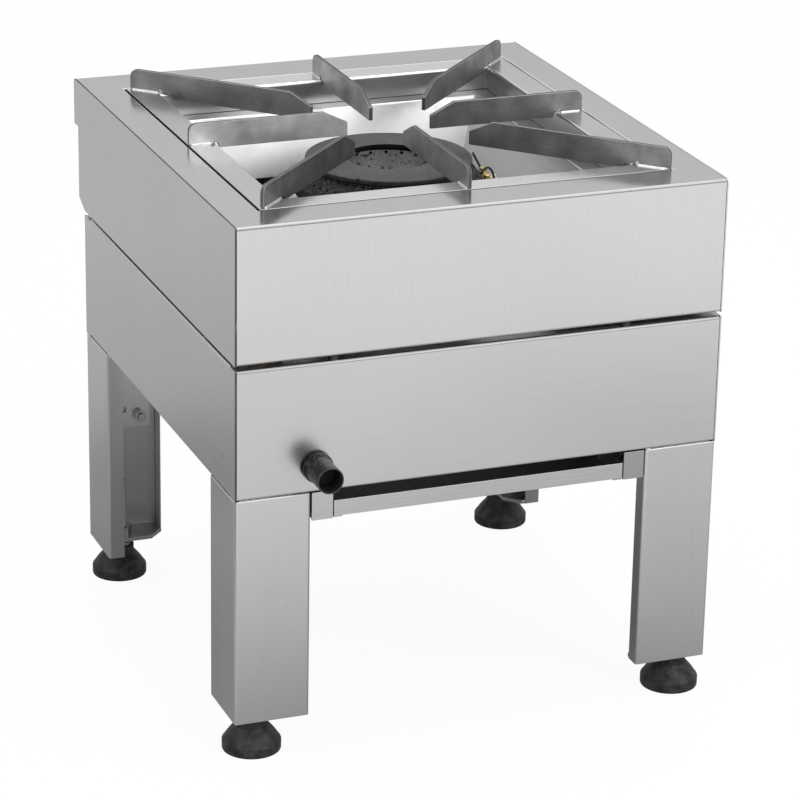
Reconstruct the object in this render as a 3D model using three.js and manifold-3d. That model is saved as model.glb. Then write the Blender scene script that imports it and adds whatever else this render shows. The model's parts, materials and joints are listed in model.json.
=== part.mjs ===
// Gas stock pot range: a low single-burner cooker on four legs.
// Millimetres. +X is right along the front, +Y is to the rear, +Z is up, the floor is z = 0.
import * as THREE from 'three';
import { mergeVertices } from 'three/addons/utils/BufferGeometryUtils.js';
import Module from 'manifold-3d';

const wasm = await Module();
wasm.setup();

// ---------------------------------------------------------------- driving dimensions
const WIDTH = 500; // housing and legs, left to right; they are square in plan
const DECK_Z = 542; // floor to deck
const HOOD_HEIGHT = 135.5; // upper housing
const SHADOW_GAP = 4.2; // between upper and lower housing
const APRON_HEIGHT = 131; // lower housing
const RIM_REACH = 34; // how far the hood's rear rim stands behind the apron
const RIM_HEIGHT = 49;
const HOOD_REACH = 20; // how far the hood below the rim stands behind the apron
const HOOD_CHAMFER = 10; // height of the slope under the hood's rear
const SHEET = 1.5; // stainless sheet of hood, apron and rails
const BEND = 3; // outer radius of a bend
const FOLD = 14; // width of a folded-in edge
const SEAM = 0.4; // joint between two sheets
const SEAT = 0.3; // running and seating gap between pieces
const BOLT_INSET = 100; // studs between hood and apron, from the corners
const BOLT_RADIUS = 2.5;
const BOLT_SHOULDER_RADIUS = 5.5;
const BOLT_NUT_RADIUS = 4.6;
const BOLT_NUT_HEIGHT = 4;
const BOLT_END = 2; // thread past the nut

const LEG_SECTION = 76;
const LEG_WALL = 2;
const LEG_LIP = 17;
const LEG_BOTTOM_Z = 38.5;
const POST_WING = 66; // corner post inside the leg
const POST_WALL = 2;
const POST_DROP = 113.3; // corner post below the apron
const LOWER_STUD_DROP = 99.3; // fixing studs on each wing of a post, below the apron
const UPPER_STUD_DROP = 26.3;
const STUD_INSET = 12; // from the free edge of the wing
const STUD_RADIUS = 4;
const STUD_NUT_RADIUS = 7.5;
const STUD_NUT_HEIGHT = 6.5;
const SLOT_LENGTH = 12; // lifting slot in a wing of the post

const FOOT_INSET = 25.7; // foot centre from the outer faces of the leg
const PAD_RADIUS = 29.1;
const PAD_EDGE = 9.5; // height of the pad's upright rim
const PAD_NECK_RADIUS = 15.7;
const PAD_HEIGHT = 34;
const PAD_ROUND = 1.5;
const PAD_COLLAR = 9; // upright part of the neck
const PAD_CROWN = 1; // the slope's rise above a straight cone
const PAD_SOCKET = 10; // depth of the socket for the stud
const PAD_WALL = 3; // round the socket
const SPINDLE_RADIUS = 8; // threaded stud of the foot, M16
const SPINDLE_TOP_Z = 108;
const HEX_RADIUS = 13.8; // spanner flats of the foot's stud, and its weld nut
const FOOT_PLATE = 4;
const FOOT_PLATE_WIDTH = 36;
const FOOT_PLATE_CHAMFER = 16;
const WELD_NUT_HEIGHT = 12;

const DECK_SIDE = 40; // deck beside the pan support
const DECK_FRONT = 46.5;
const DECK_REAR = 56.5;
const PAN_PLATE = 2.5;
const BAND_SIDE = 28.5; // width of the frame's bands
const BAND_FRONT = 27;
const BAND_REAR = 30;
const PAN_GAP = 1.6; // dark line round the support
const LEDGE_DROP = 25; // ledge that the skirt stands on, below the deck
const BAR_THICKNESS = 4;
const BAR_RISE = 21.5; // bars above the frame
const BAR_DROP = 4.8; // lower edge below the frame's surface
const BAR_TIP_DROP = 12.5; // chamfer at the tip
const BAR_TIP_RUN = 25;
const BAR_CORNER = 8; // rounded outer top corner
const SIDE_TIP_RADIUS = 44; // tips of the mid-side bars from the centre
const CORNER_TIP_RADIUS = 88; // tips of the corner bars from the centre
const LEFT_BAR_SHIFT = 3.5; // the bars are welded a little off the middle
const REAR_BAR_SHIFT = -3;
const REAR_LEFT_BAR_SHIFT = 4;

const COLLAR_DEPTH = 12; // folded edge round the deck opening
const BASIN_SHEET = 1.2;
const BASIN_FLANGE = 12;
const FUNNEL_ROOM = 41; // between the burner and the funnel's foot
const FUNNEL_DEPTH = 62;
const FUNNEL_DRAW = 22.5; // how far the funnel draws in over its depth

const CAP_RADIUS = 84.4;
const CAP_HOLE = 43;
const CAP_DROP = 30; // cap below the deck
const CAP_THICKNESS = 5.2;
const CAP_EDGE = 1.2;
const CAP_LIP = 4; // ring under the cap that centres it
const CAP_LIP_WALL = 3;
const BURNER_WALL = 5;
const CONE_TOP_RADIUS = 79;
const BURNER_RADIUS = 96.5;
const CONE_DROP = 23.5; // foot of the sloping wall, below the cap's top
const BURNER_DEPTH = 52; // underside of the casting, below the cap's top
const INNER_WALL_RADIUS = 51;
const CHANNEL_RADIUS = 65; // middle of the gas channel
const TUBE_RADIUS = 18; // mixing tube
const TUBE_BORE = 14.5;
const TUBE_DROP = 35; // axis of the mixing tube, below the casting
const TUBE_INSET = 60; // mouth of the mixing tube from the housing's left
const BELL_RADIUS = 22;
const BELL_LENGTH = 10;
const GAS_HOLE_RADIUS = 8; // from the tube into the channel
const LUG_RADIUS = 7;
const LUG_HEIGHT = 12; // the casting stands so high above the bars that carry it
const CROSSBAR_WIDTH = 24;
const CROSSBAR_WALL = 2;
const CROSSBAR_SPREAD = 45; // from the burner's centre
const CROSSBAR_SLOPE = 3; // run of the rising ends
const END_GAP = 1; // between such bars or brackets and the housing

const TRAY_PLAY = 1; // between tray and rail
const TRAY_REAR_GAP = 20.5; // behind the tray
const TRAY_HEIGHT = 16;
const TRAY_WALL = 1.2;
const RAIL_GAP = 1; // between rail and leg
const RAIL_WIDTH = 21.5;
const RAIL_HEIGHT = 28.5;
const RAIL_LEDGE = 10; // ledge that reaches under the tray

const INJECTOR_GAP = 16; // bracket from the mouth of the mixing tube
const BRACKET_WIDTH = 36;
const BRACKET_WALL = 2;
const HOLDER_RADIUS = 8;
const HOLDER_REACH = 14; // from the bracket to the pipe's axis
const HOLDER_BOSS = 3; // past the holder's own radius, where the pipe enters
const HOLDER_NUT_RADIUS = 12;
const HOLDER_NUT = 7;
const JET_HEX_RADIUS = 5.5;
const JET_HEX = 4;
const JET_RADIUS = 3.5;
const JET_LENGTH = 10;

const TAP_INSET = 81.3; // tap's axis from the housing's left
const TAP_RISE = 26.7; // above the apron's lower edge
const TAP_SIZE = 24;
const TAP_LENGTH = 44;
const OUTLET_INSET = 14; // outlet from the tap's rear
const OUTLET_RISE = 10;
const OUTLET_RADIUS = 9;
const UNION_RADIUS = 13; // union nut at the tap's rear
const UNION_LENGTH = 9;
const PLUG_INSET = 5;
const PLUG_RADIUS = 9;
const PLUG_LENGTH = 28;
const PLUG_FLOOR = 2;
const SHAFT_RADIUS = 4; // tap spindle
const SHAFT_HOLE = 7; // hole for it in the apron
const KNOB_TRAVEL = 3.5;
const KNOB_REACH = 40; // knob end from the panel
const KNOB_FLANGE_RADIUS = 15.3;
const KNOB_FLANGE = 4;
const KNOB_RADIUS = 13.2;
const KNOB_BORE = 11.8;
const KNOB_BORE_DEPTH = 20;
const KNOB_EDGE = 0.8;
const KNOB_SOCKET = 6; // from the bore's floor to the spindle

const PIPE_RADIUS = 5; // burner pipe
const PIPE_BEND = 30;
const SUPPLY_RADIUS = 8;
const INLET_RADIUS = 10.5;
const INLET_BORE = 8;
const INLET_REACH = 22; // behind the apron
const INLET_NUT_RADIUS = 12.6;
const INLET_NUT = 6;
const INLET_TAIL = 4; // inlet in front of its nut
const PILOT_PIPE_RADIUS = 2;
const THERMO_LEAD_RADIUS = 1.2;
const IGNITION_LEAD_RADIUS = 1.4;
const PILOT_GAP = 13.5; // pilot bracket's axis from the burner's edge
const PILOT_OFFSET = 18; // pilot group behind the burner's centre
const PILOT_SPREAD = 8; // thermocouple behind, electrode in front
const PILOT_INSET = 2;
const PILOT_RADIUS = 4;
const PILOT_HEX_RADIUS = 6;
const PILOT_HEX = 6;
const PILOT_STEM = 12; // above and below the shelf
const COUPLE_INSET = 6; // nearer to the burner than the pilot
const COUPLE_RADIUS = 2.5;
const COUPLE_NUT_RADIUS = 5;
const COUPLE_NUT = 5;
const COUPLE_STEM = 10;
const COUPLE_TIP_RADIUS = 2;
const COUPLE_TIP_GAP = 13; // tip of the thermocouple from the cap
const COUPLE_TIP_OFFSET = 16;
const COUPLE_TIP_DROP = 11;
const ELECTRODE_OUTSET = 9; // further from the burner than the pilot
const ELECTRODE_RADIUS = 3;
const ELECTRODE_COLLAR_RADIUS = 4.2;
const ELECTRODE_COLLAR = 2.5;
const ELECTRODE_STEM = 9;
const ELECTRODE_WIRE = 5; // bare wire above the ceramic
const SHELF_DEPTH = 41; // pilot shelf below the cap's top
const SHELF_SIZE = 26;
const SHELF_REACH = 34;
const SHELF_WALL = 2;
const SHELF_FOOT = 18; // of the bracket, on the burner bar
const LEAD_DROP = 16; // lowest lead below the top of the burner bars
const LEAD_STEP = 5; // between neighbouring leads
const LEAD_BEND = 12;
const LEAD_OUTSET = 22; // where the leads come down, beside the tap
const PIEZO_WIDTH = 14;
const PIEZO_INSET = 8; // from the tap's rear
const PIEZO_RISE = 4; // above the tap's axis
const PIEZO_HEIGHT = 11;

// ---------------------------------------------------------------- derived levels
const HALF = WIDTH / 2;
const FRONT = -HALF;
const REAR = HALF;
const HOOD_Z = DECK_Z - HOOD_HEIGHT;
const APRON_TOP_Z = HOOD_Z - SHADOW_GAP;
const APRON_Z = APRON_TOP_Z - APRON_HEIGHT;
const HOOD_REAR = REAR + HOOD_REACH;
const RIM_REAR = REAR + RIM_REACH;
const KNOB_FRONT = FRONT - KNOB_REACH;
const PAN_WIDTH = WIDTH - 2 * DECK_SIDE;
const PAN_FRONT = FRONT + DECK_FRONT;
const PAN_REAR = RIM_REAR - DECK_REAR;
const PAN_LENGTH = PAN_REAR - PAN_FRONT;
const PAN_Y = (PAN_FRONT + PAN_REAR) / 2; // centre of pan support and burner
const LEDGE_Z = DECK_Z - LEDGE_DROP;
const CAP_TOP_Z = DECK_Z - CAP_DROP;
const CONE_BOTTOM_Z = CAP_TOP_Z - CONE_DROP;
const BURNER_FLOOR_Z = CAP_TOP_Z - BURNER_DEPTH;
const CROSSBAR_Z = BURNER_FLOOR_Z - LUG_HEIGHT; // top of the bars that carry the burner
const TUBE_Z = BURNER_FLOOR_Z - TUBE_DROP;
const TUBE_END_X = TUBE_INSET - HALF;
const TAP_X = TAP_INSET - HALF;
const TAP_Z = APRON_Z + TAP_RISE;
const TAP_FRONT = FRONT + SHEET + SEAT;
const TAP_REAR = TAP_FRONT + TAP_LENGTH;
const TAP_SIDE = TAP_X + TAP_SIZE / 2 + SEAT;
const PILOT_X = BURNER_RADIUS + PILOT_GAP;
const PILOT_Y = PAN_Y + PILOT_OFFSET;
const SHELF_Z = CAP_TOP_Z - SHELF_DEPTH;
const ROUND = 28; // sides of a visible round piece
const SMALL_ROUND = 12;
const TUBE_ROUND = 24;
const BURNER_ROUND = 36;
const BEND_STEPS = 3; // facets of a bend
const CORNER_STEPS = 4; // facets of a rounded corner

// ---------------------------------------------------------------- shapes
function toSolid(geometry) {
  geometry.deleteAttribute('normal');
  geometry.deleteAttribute('uv');
  const merged = mergeVertices(geometry, 1e-4);
  const points = merged.attributes.position.array;
  const triangles = [];
  for (let i = 0; i < merged.index.count; i += 3) {
    const [a, b, c] = [0, 1, 2].map((k) => merged.index.getX(i + k));
    if (a !== b && b !== c && c !== a) triangles.push([a, b, c]);
  }
  const corner = (n) => new THREE.Vector3().fromArray(points, 3 * n);
  const volume = triangles.reduce(
    (sum, [a, b, c]) => sum + corner(a).dot(corner(b).cross(corner(c))), 0);
  const outward = volume < 0 ? triangles.map(([a, b, c]) => [a, c, b]) : triangles;
  return new wasm.Manifold(new wasm.Mesh({
    numProp: 3,
    vertProperties: Float32Array.from(points),
    triVerts: Uint32Array.from(outward.flat()),
  }));
}

const join = (solids) => solids.reduce((whole, next) => whole.add(next));
const cut = (solid, tools) => tools.reduce((rest, tool) => rest.subtract(tool), solid);

function box(x0, x1, y0, y1, z0, z1) {
  const geometry = new THREE.BoxGeometry(Math.abs(x1 - x0), Math.abs(y1 - y0), Math.abs(z1 - z0));
  return toSolid(geometry.translate((x0 + x1) / 2, (y0 + y1) / 2, (z0 + z1) / 2));
}

// Extrudes an outline along one axis. The outline is in (y, z) for x, (x, z) for y, (x, y) for z.
function prism(outline, axis, from, to) {
  const shape = new THREE.Shape(outline.map(([a, b]) => new THREE.Vector2(a, b)));
  const geometry = new THREE.ExtrudeGeometry(shape, { depth: to - from, bevelEnabled: false });
  const place = new THREE.Matrix4();
  if (axis === 'x') place.set(0, 0, 1, from, 1, 0, 0, 0, 0, 1, 0, 0, 0, 0, 0, 1);
  if (axis === 'y') place.set(1, 0, 0, 0, 0, 0, -1, to, 0, 1, 0, 0, 0, 0, 0, 1);
  if (axis === 'z') place.set(1, 0, 0, 0, 0, 1, 0, 0, 0, 0, 1, from, 0, 0, 0, 1);
  return toSolid(geometry.applyMatrix4(place));
}

// Revolves a closed outline of [radius, height] about an axis through the given point.
function turned(outline, axis, centre, sides = ROUND) {
  const closed = [...outline, outline[0]].map(([r, h]) => new THREE.Vector2(r, h));
  const geometry = new THREE.LatheGeometry(closed, sides);
  const place = new THREE.Matrix4();
  if (axis === 'x') place.set(0, 1, 0, 0, -1, 0, 0, 0, 0, 0, 1, 0, 0, 0, 0, 1);
  if (axis === 'z') place.set(1, 0, 0, 0, 0, 0, -1, 0, 0, 1, 0, 0, 0, 0, 0, 1);
  return toSolid(geometry.applyMatrix4(place).translate(...centre));
}

// A round bar along an axis between two heights; six sides make it a hexagon.
function bar(radius, axis, [x, y, z], from, to, sides = SMALL_ROUND) {
  return turned([[0, from], [radius, from], [radius, to], [0, to]], axis, [x, y, z], sides);
}

// Outline of a bent sheet. The path is one face of the sheet, and the sheet lies to its left
// (positive thickness) or right. Every bend has the same outer radius.
function bentSheet(path, thickness, radius) {
  const near = [];
  const far = [];
  const left = Math.sign(thickness);
  const t = Math.abs(thickness);
  const points = path.map(([a, b]) => new THREE.Vector2(a, b));
  const direction = (i) => points[i + 1].clone().sub(points[i]).normalize();
  const normal = (d) => new THREE.Vector2(-d.y, d.x).multiplyScalar(left);
  near.push(points[0]);
  far.push(points[0].clone().addScaledVector(normal(direction(0)), t));
  for (let i = 1; i < points.length - 1; i += 1) {
    const before = direction(i - 1);
    const after = direction(i);
    const turn = Math.atan2(before.cross(after), before.dot(after));
    const towards = Math.sign(turn) * left; // 1 where the sheet lies inside the bend
    const pathRadius = towards > 0 ? radius : radius - t;
    const trim = pathRadius * Math.tan(Math.abs(turn) / 2);
    const centre = points[i].clone().addScaledVector(before, -trim)
      .addScaledVector(normal(before), towards * pathRadius);
    const spoke = normal(before).multiplyScalar(-towards);
    for (let k = 0; k <= BEND_STEPS; k += 1) {
      const ray = spoke.clone().rotateAround(new THREE.Vector2(), (turn * k) / BEND_STEPS);
      near.push(centre.clone().addScaledVector(ray, pathRadius));
      far.push(centre.clone().addScaledVector(ray, pathRadius - towards * t));
    }
  }
  const last = points.length - 1;
  near.push(points[last]);
  far.push(points[last].clone().addScaledVector(normal(direction(last - 1)), t));
  return [...near, ...far.reverse()].map((p) => [p.x, p.y]);
}

// A mitred ring: the outline of [offset, z] runs round a rectangle, offset outwards from it.
function mitredRing([x0, x1, y0, y1], outline) {
  const corners = [[-1, -1], [1, -1], [1, 1], [-1, 1]];
  const positions = [];
  for (const [offset, z] of outline) {
    for (const [sx, sy] of corners) {
      positions.push((sx < 0 ? x0 : x1) + sx * offset, (sy < 0 ? y0 : y1) + sy * offset, z);
    }
  }
  const index = [];
  const count = outline.length;
  for (let i = 0; i < count; i += 1) {
    for (let k = 0; k < 4; k += 1) {
      const a = 4 * i + k;
      const b = 4 * i + ((k + 1) % 4);
      const c = 4 * ((i + 1) % count) + ((k + 1) % 4);
      const d = 4 * ((i + 1) % count) + k;
      index.push(a, b, c, a, c, d);
    }
  }
  const geometry = new THREE.BufferGeometry();
  geometry.setAttribute('position', new THREE.Float32BufferAttribute(positions, 3));
  geometry.setIndex(index);
  return toSolid(geometry);
}

const LONGEST_EASE = 0.45; // of a stretch, so that two bends never meet

// A round rod along a route whose corners are eased by bends. The rings between two stretches
// lie in the plane that halves their angle.
function tube(route, radius, bend, sides = 8) {
  const points = route.map((p) => new THREE.Vector3(...p));
  const centres = [points[0]];
  for (let i = 1; i < points.length - 1; i += 1) {
    const corner = points[i];
    const eased = (to) => {
      const length = corner.distanceTo(to);
      return corner.clone().lerp(to, Math.min(bend / length, LONGEST_EASE));
    };
    const curve = new THREE.QuadraticBezierCurve3(
      eased(points[i - 1]), corner, eased(points[i + 1]));
    centres.push(...curve.getPoints(BEND_STEPS));
  }
  centres.push(points[points.length - 1]);

  const along = (i) => centres[i + 1].clone().sub(centres[i]).normalize();
  const first = along(0);
  const aside = Math.abs(first.z) > 0.9 ? new THREE.Vector3(1, 0, 0) : new THREE.Vector3(0, 0, 1);
  const across = aside.cross(first).normalize();
  const last = centres.length - 1;
  let ring = Array.from({ length: sides }, (_, k) =>
    across.clone().applyAxisAngle(first, (2 * Math.PI * k) / sides).multiplyScalar(radius)
      .add(centres[0]));
  const rings = [ring];
  for (let i = 1; i <= last; i += 1) {
    const way = along(i - 1);
    const normal = i < last ? way.clone().add(along(i)) : way;
    ring = ring.map((p) => {
      const distance = centres[i].clone().sub(p).dot(normal) / way.dot(normal);
      return p.clone().addScaledVector(way, distance);
    });
    rings.push(ring);
  }

  const index = [];
  for (let i = 0; i < last; i += 1) {
    for (let k = 0; k < sides; k += 1) {
      const next = (k + 1) % sides;
      const [a, b] = [i * sides + k, i * sides + next];
      index.push(a, b, b + sides, a, b + sides, a + sides);
    }
  }
  for (let k = 1; k < sides - 1; k += 1) {
    const end = last * sides;
    index.push(0, k + 1, k, end, end + k, end + k + 1);
  }
  const geometry = new THREE.BufferGeometry().setFromPoints(rings.flat());
  geometry.setIndex(index);
  return toSolid(geometry);
}

// ---------------------------------------------------------------- materials and placing
const finish = (color, roughness, metalness) =>
  new THREE.MeshStandardMaterial({ color, roughness, metalness });
const steel = finish(0xb9bab8, 0.35, 0.9);
const barSteel = finish(0x6f7070, 0.5, 0.8);
const castIron = finish(0x4a4a4a, 0.8, 0.5);
const blackPlastic = finish(0x1d1d1e, 0.6, 0);
const zinc = finish(0x9a9c9e, 0.4, 0.9);
const brass = finish(0xc9a04c, 0.35, 0.9);
const copper = finish(0xb0714a, 0.4, 0.9);
const ceramic = finish(0xe8e6df, 0.5, 0);

const range = new THREE.Group();

function toGeometry(solid) {
  const mesh = solid.getMesh();
  const geometry = new THREE.BufferGeometry();
  geometry.setAttribute('position', new THREE.BufferAttribute(mesh.vertProperties, 3));
  geometry.setIndex(new THREE.BufferAttribute(mesh.triVerts, 1));
  geometry.computeVertexNormals();
  return geometry;
}

function piece(name, solid, material, parent = range) {
  const object = new THREE.Mesh(toGeometry(solid), material);
  object.name = name;
  parent.add(object);
  return object;
}

// ---------------------------------------------------------------- pan support and its opening
const panBox = (grow) => [
  -PAN_WIDTH / 2 - grow, PAN_WIDTH / 2 + grow,
  PAN_Y - PAN_LENGTH / 2 - grow, PAN_Y + PAN_LENGTH / 2 + grow,
];
const panOpening = [
  -PAN_WIDTH / 2 + BAND_SIDE, PAN_WIDTH / 2 - BAND_SIDE,
  PAN_Y - PAN_LENGTH / 2 + BAND_FRONT, PAN_Y + PAN_LENGTH / 2 - BAND_REAR,
];

function panFrame() {
  const skirtPath = [[BEND * 2, DECK_Z], [0, DECK_Z], [0, LEDGE_Z + SEAT]];
  const skirt = mitredRing(panOpening, bentSheet(skirtPath, PAN_PLATE, BEND));
  const hole = panOpening.map((edge, i) => edge + (i % 2 ? BEND : -BEND));
  const plate = cut(box(...panBox(0), DECK_Z - PAN_PLATE, DECK_Z), [
    box(...hole, DECK_Z - 2 * PAN_PLATE, DECK_Z + PAN_PLATE),
  ]);
  piece('pan_support_frame', plate.add(skirt), steel);
}

// A bar in its own frame: x from the outer end to the tip, z from the frame's surface.
function supportBar(name, length, band, angle, x, y) {
  const step = band + SHEET;
  const outline = [
    [0, SEAT],
    [step, SEAT],
    [step + BAR_THICKNESS / 2, -BAR_DROP],
    [length, -BAR_DROP],
    [length, BAR_RISE - BAR_TIP_DROP],
    [length - BAR_TIP_RUN, BAR_RISE],
  ];
  for (let k = 0; k <= CORNER_STEPS; k += 1) {
    const a = (Math.PI / 2) * (1 + k / CORNER_STEPS);
    outline.push([BAR_CORNER * (1 + Math.cos(a)), BAR_RISE - BAR_CORNER * (1 - Math.sin(a))]);
  }
  const mesh = piece(name, prism(outline, 'y', -BAR_THICKNESS / 2, BAR_THICKNESS / 2), barSteel);
  mesh.position.set(x, y, DECK_Z);
  mesh.rotation.z = angle;
}

function supportBars() {
  const [left, right, front, rear] = panBox(0);
  const across = PAN_WIDTH / 2 - SIDE_TIP_RADIUS;
  const along = PAN_LENGTH / 2 - SIDE_TIP_RADIUS;
  supportBar('support_bar_left', across, BAND_SIDE, 0, left, PAN_Y + LEFT_BAR_SHIFT);
  supportBar('support_bar_right', across, BAND_SIDE, Math.PI, right, PAN_Y);
  supportBar('support_bar_front', along, BAND_FRONT, Math.PI / 2, 0, front);
  supportBar('support_bar_rear', along, BAND_REAR, -Math.PI / 2, REAR_BAR_SHIFT, rear);
  const tilt = Math.atan2(PAN_LENGTH, PAN_WIDTH);
  const diagonal = Math.hypot(PAN_WIDTH, PAN_LENGTH) / 2 - CORNER_TIP_RADIUS;
  const corners = [ // the last two are the end's distance from the corner and the shift
    ['front_left', left, front, tilt, BAND_FRONT, BAR_THICKNESS, 0],
    ['front_right', right, front, Math.PI - tilt, BAND_FRONT, 0, 0],
    ['rear_right', right, rear, Math.PI + tilt, BAND_REAR, BAR_THICKNESS, 0],
    ['rear_left', left, rear, -tilt, BAND_REAR, BAR_THICKNESS, REAR_LEFT_BAR_SHIFT],
  ];
  for (const [corner, x, y, angle, band, inset, shift] of corners) {
    const reach = Math.max(BAND_SIDE / Math.cos(tilt), band / Math.sin(tilt));
    const place = new THREE.Vector2(inset, shift).rotateAround(new THREE.Vector2(), angle);
    supportBar(`support_bar_${corner}`, diagonal - inset, reach + BAR_THICKNESS, angle,
      x + place.x, y + place.y);
  }
}

// ---------------------------------------------------------------- upper housing
const boltPlaces = [];
for (const side of [-1, 1]) {
  for (const along of [-1, 1]) {
    const edge = side * (HALF - FOLD / 2 - SHEET / 2);
    const place = along * (HALF - BOLT_INSET);
    boltPlaces.push([edge, place], [place, edge]);
  }
}
const boltHoles = () => boltPlaces.map(([x, y]) =>
  bar(BOLT_RADIUS + SEAT, 'z', [x, y, 0], HOOD_Z - SHEET, HOOD_Z + 2 * SHEET, 8));

function hoodTop() {
  const path = [
    [RIM_REAR - SHEET - SEAM, DECK_Z - COLLAR_DEPTH],
    [RIM_REAR - SHEET - SEAM, DECK_Z],
    [FRONT, DECK_Z],
    [FRONT, HOOD_Z],
    [FRONT + FOLD, HOOD_Z],
  ];
  const halfWidth = HALF - SHEET - SEAM;
  const sheet = prism(bentSheet(path, SHEET, BEND), 'x', -halfWidth, halfWidth);
  const edge = [[BEND * 2, DECK_Z], [0, DECK_Z], [0, DECK_Z - COLLAR_DEPTH]];
  const collar = mitredRing(panBox(PAN_GAP), bentSheet(edge, SHEET, BEND - SHEET / 2));
  const hole = box(...panBox(PAN_GAP + BEND), DECK_Z - 2 * SHEET, DECK_Z + SHEET);
  const body = cut(sheet, [hole, ...boltHoles()]).add(collar);
  piece('hood_deck_and_front', body, steel);
}

// The closed side view of the hood, which both side sheets have as their outline.
function hoodProfile() {
  const corner = [];
  for (let k = 0; k <= CORNER_STEPS; k += 1) {
    const a = (Math.PI / 2) * (1 + k / CORNER_STEPS);
    corner.push([FRONT + BEND * (1 + Math.cos(a)), DECK_Z - BEND * (1 - Math.sin(a))]);
  }
  return [
    ...corner,
    [FRONT, HOOD_Z],
    [REAR, HOOD_Z],
    [HOOD_REAR, HOOD_Z + HOOD_CHAMFER],
    [HOOD_REAR, DECK_Z - RIM_HEIGHT],
    [RIM_REAR, DECK_Z - RIM_HEIGHT],
    [RIM_REAR, DECK_Z],
  ];
}

function hoodSides() {
  for (const [name, side] of [['hood_left_side', -1], ['hood_right_side', 1]]) {
    const face = side * HALF;
    const inner = side * (HALF - SHEET);
    const plate = prism(hoodProfile(), 'x', Math.min(face, inner), Math.max(face, inner));
    const end = HALF - FOLD - SHEET;
    const fold = box(face - side * SHEET / 2, side * (HALF - FOLD), -end, end, HOOD_Z,
      HOOD_Z + SHEET);
    const body = cut(plate.add(fold), boltHoles());
    piece(name, body, steel);
  }
}

function hoodRear() {
  const path = [
    [RIM_REAR, DECK_Z - SHEET],
    [RIM_REAR, DECK_Z - RIM_HEIGHT],
    [HOOD_REAR, DECK_Z - RIM_HEIGHT],
    [HOOD_REAR, HOOD_Z + HOOD_CHAMFER],
    [REAR, HOOD_Z],
    [REAR - FOLD, HOOD_Z],
  ];
  const halfWidth = HALF - SHEET - SEAM;
  const sheet = prism(bentSheet(path, -SHEET, BEND - SHEET / 2), 'x', -halfWidth, halfWidth);
  piece('hood_rear', cut(sheet, boltHoles()), steel);
}

// Shouldered studs welded into the apron's top fold; the hood stands on the shoulders.
function hoodStuds(places) {
  const foot = APRON_TOP_Z - SHEET;
  const nutFoot = HOOD_Z + SHEET + SEAT;
  return join(places.map(([x, y]) => join([
    bar(BOLT_SHOULDER_RADIUS, 'z', [x, y, 0], foot, HOOD_Z - SEAT),
    bar(BOLT_RADIUS, 'z', [x, y, 0], foot, nutFoot + BOLT_NUT_HEIGHT + BOLT_END, 8),
    bar(BOLT_NUT_RADIUS, 'z', [x, y, 0], nutFoot, nutFoot + BOLT_NUT_HEIGHT, 6),
  ])));
}

function spillBasin() {
  const lip = PAN_GAP + SHEET + SEAM;
  const top = DECK_Z - SHEET - SEAT;
  const funnelFoot = BURNER_RADIUS + FUNNEL_ROOM - PAN_WIDTH / 2;
  const path = [
    [lip + BASIN_FLANGE, top],
    [lip, top],
    [lip, LEDGE_Z],
    [funnelFoot + FUNNEL_DRAW, LEDGE_Z],
    [funnelFoot, LEDGE_Z - FUNNEL_DEPTH],
  ];
  piece('spill_basin', mitredRing(panBox(0), bentSheet(path, BASIN_SHEET, 2 * BASIN_SHEET)), steel);
}

// ---------------------------------------------------------------- lower housing
// Room for the corner posts where they pass the folded edges.
function postRoom() {
  const near = HALF - SHEET;
  const far = HALF - POST_WING - LEG_WALL - 2 * SEAT;
  const rooms = [];
  for (const sx of [-1, 1]) {
    for (const sy of [-1, 1]) {
      rooms.push(box(sx * near, sx * far, sy * near, sy * far, APRON_Z - SHEET, APRON_Z + 2 * BEND));
    }
  }
  return rooms;
}

function apronFrontAndRear() {
  const halfWidth = HALF - SHEET - SEAM;
  for (const [name, side] of [['apron_front', -1], ['apron_rear', 1]]) {
    const face = side * HALF;
    const fold = side * (HALF - FOLD);
    const path = [[fold, APRON_Z], [face, APRON_Z], [face, APRON_TOP_Z], [fold, APRON_TOP_Z]];
    const sheet = prism(bentSheet(path, side * SHEET, BEND), 'x', -halfWidth, halfWidth);
    const hole = side < 0 ? SHAFT_HOLE : INLET_RADIUS + SEAT;
    const opening = bar(hole, 'y', [TAP_X, 0, TAP_Z], face - 2 * SHEET, face + 2 * SHEET,
      TUBE_ROUND);
    const studs = hoodStuds(boltPlaces.filter(([, y]) => side * y > HALF - FOLD));
    piece(name, cut(sheet, [...postRoom(), opening]).add(studs), steel);
  }
}

function apronSides() {
  const end = HALF - FOLD - SHEET;
  for (const [name, side] of [['apron_left', -1], ['apron_right', 1]]) {
    const face = side * HALF;
    const fold = side * (HALF - FOLD);
    const path = [[fold, APRON_Z], [face, APRON_Z], [face, APRON_TOP_Z], [fold, APRON_TOP_Z]];
    const channel = prism(bentSheet(path, side * SHEET, BEND), 'y', -end, end);
    const plate = box(face, face - side * SHEET, -HALF, HALF, APRON_Z, APRON_TOP_Z);
    const middle = box(face + side * SHEET, face - side * FOLD, -end, end, APRON_Z - SHEET,
      APRON_TOP_Z + SHEET);
    const body = cut(plate, [middle]).add(channel);
    const studs = hoodStuds(boltPlaces.filter(([x]) => side * x > HALF - FOLD));
    piece(name, cut(body, postRoom()).add(studs), steel);
  }
}

// ---------------------------------------------------------------- legs and feet
// Everything at a corner is drawn for the front left one and turned into the others.
function legSection(offset, wing, wall, lip) {
  const outer = -HALF + offset;
  const end = -HALF + wing;
  const lipEnd = outer + lip;
  const path = lip
    ? [[end, lipEnd], [end, outer], [outer, outer], [outer, end], [lipEnd, end]]
    : [[end, outer], [outer, outer], [outer, end]];
  return bentSheet(path, -wall, 1.5 * wall);
}

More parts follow.
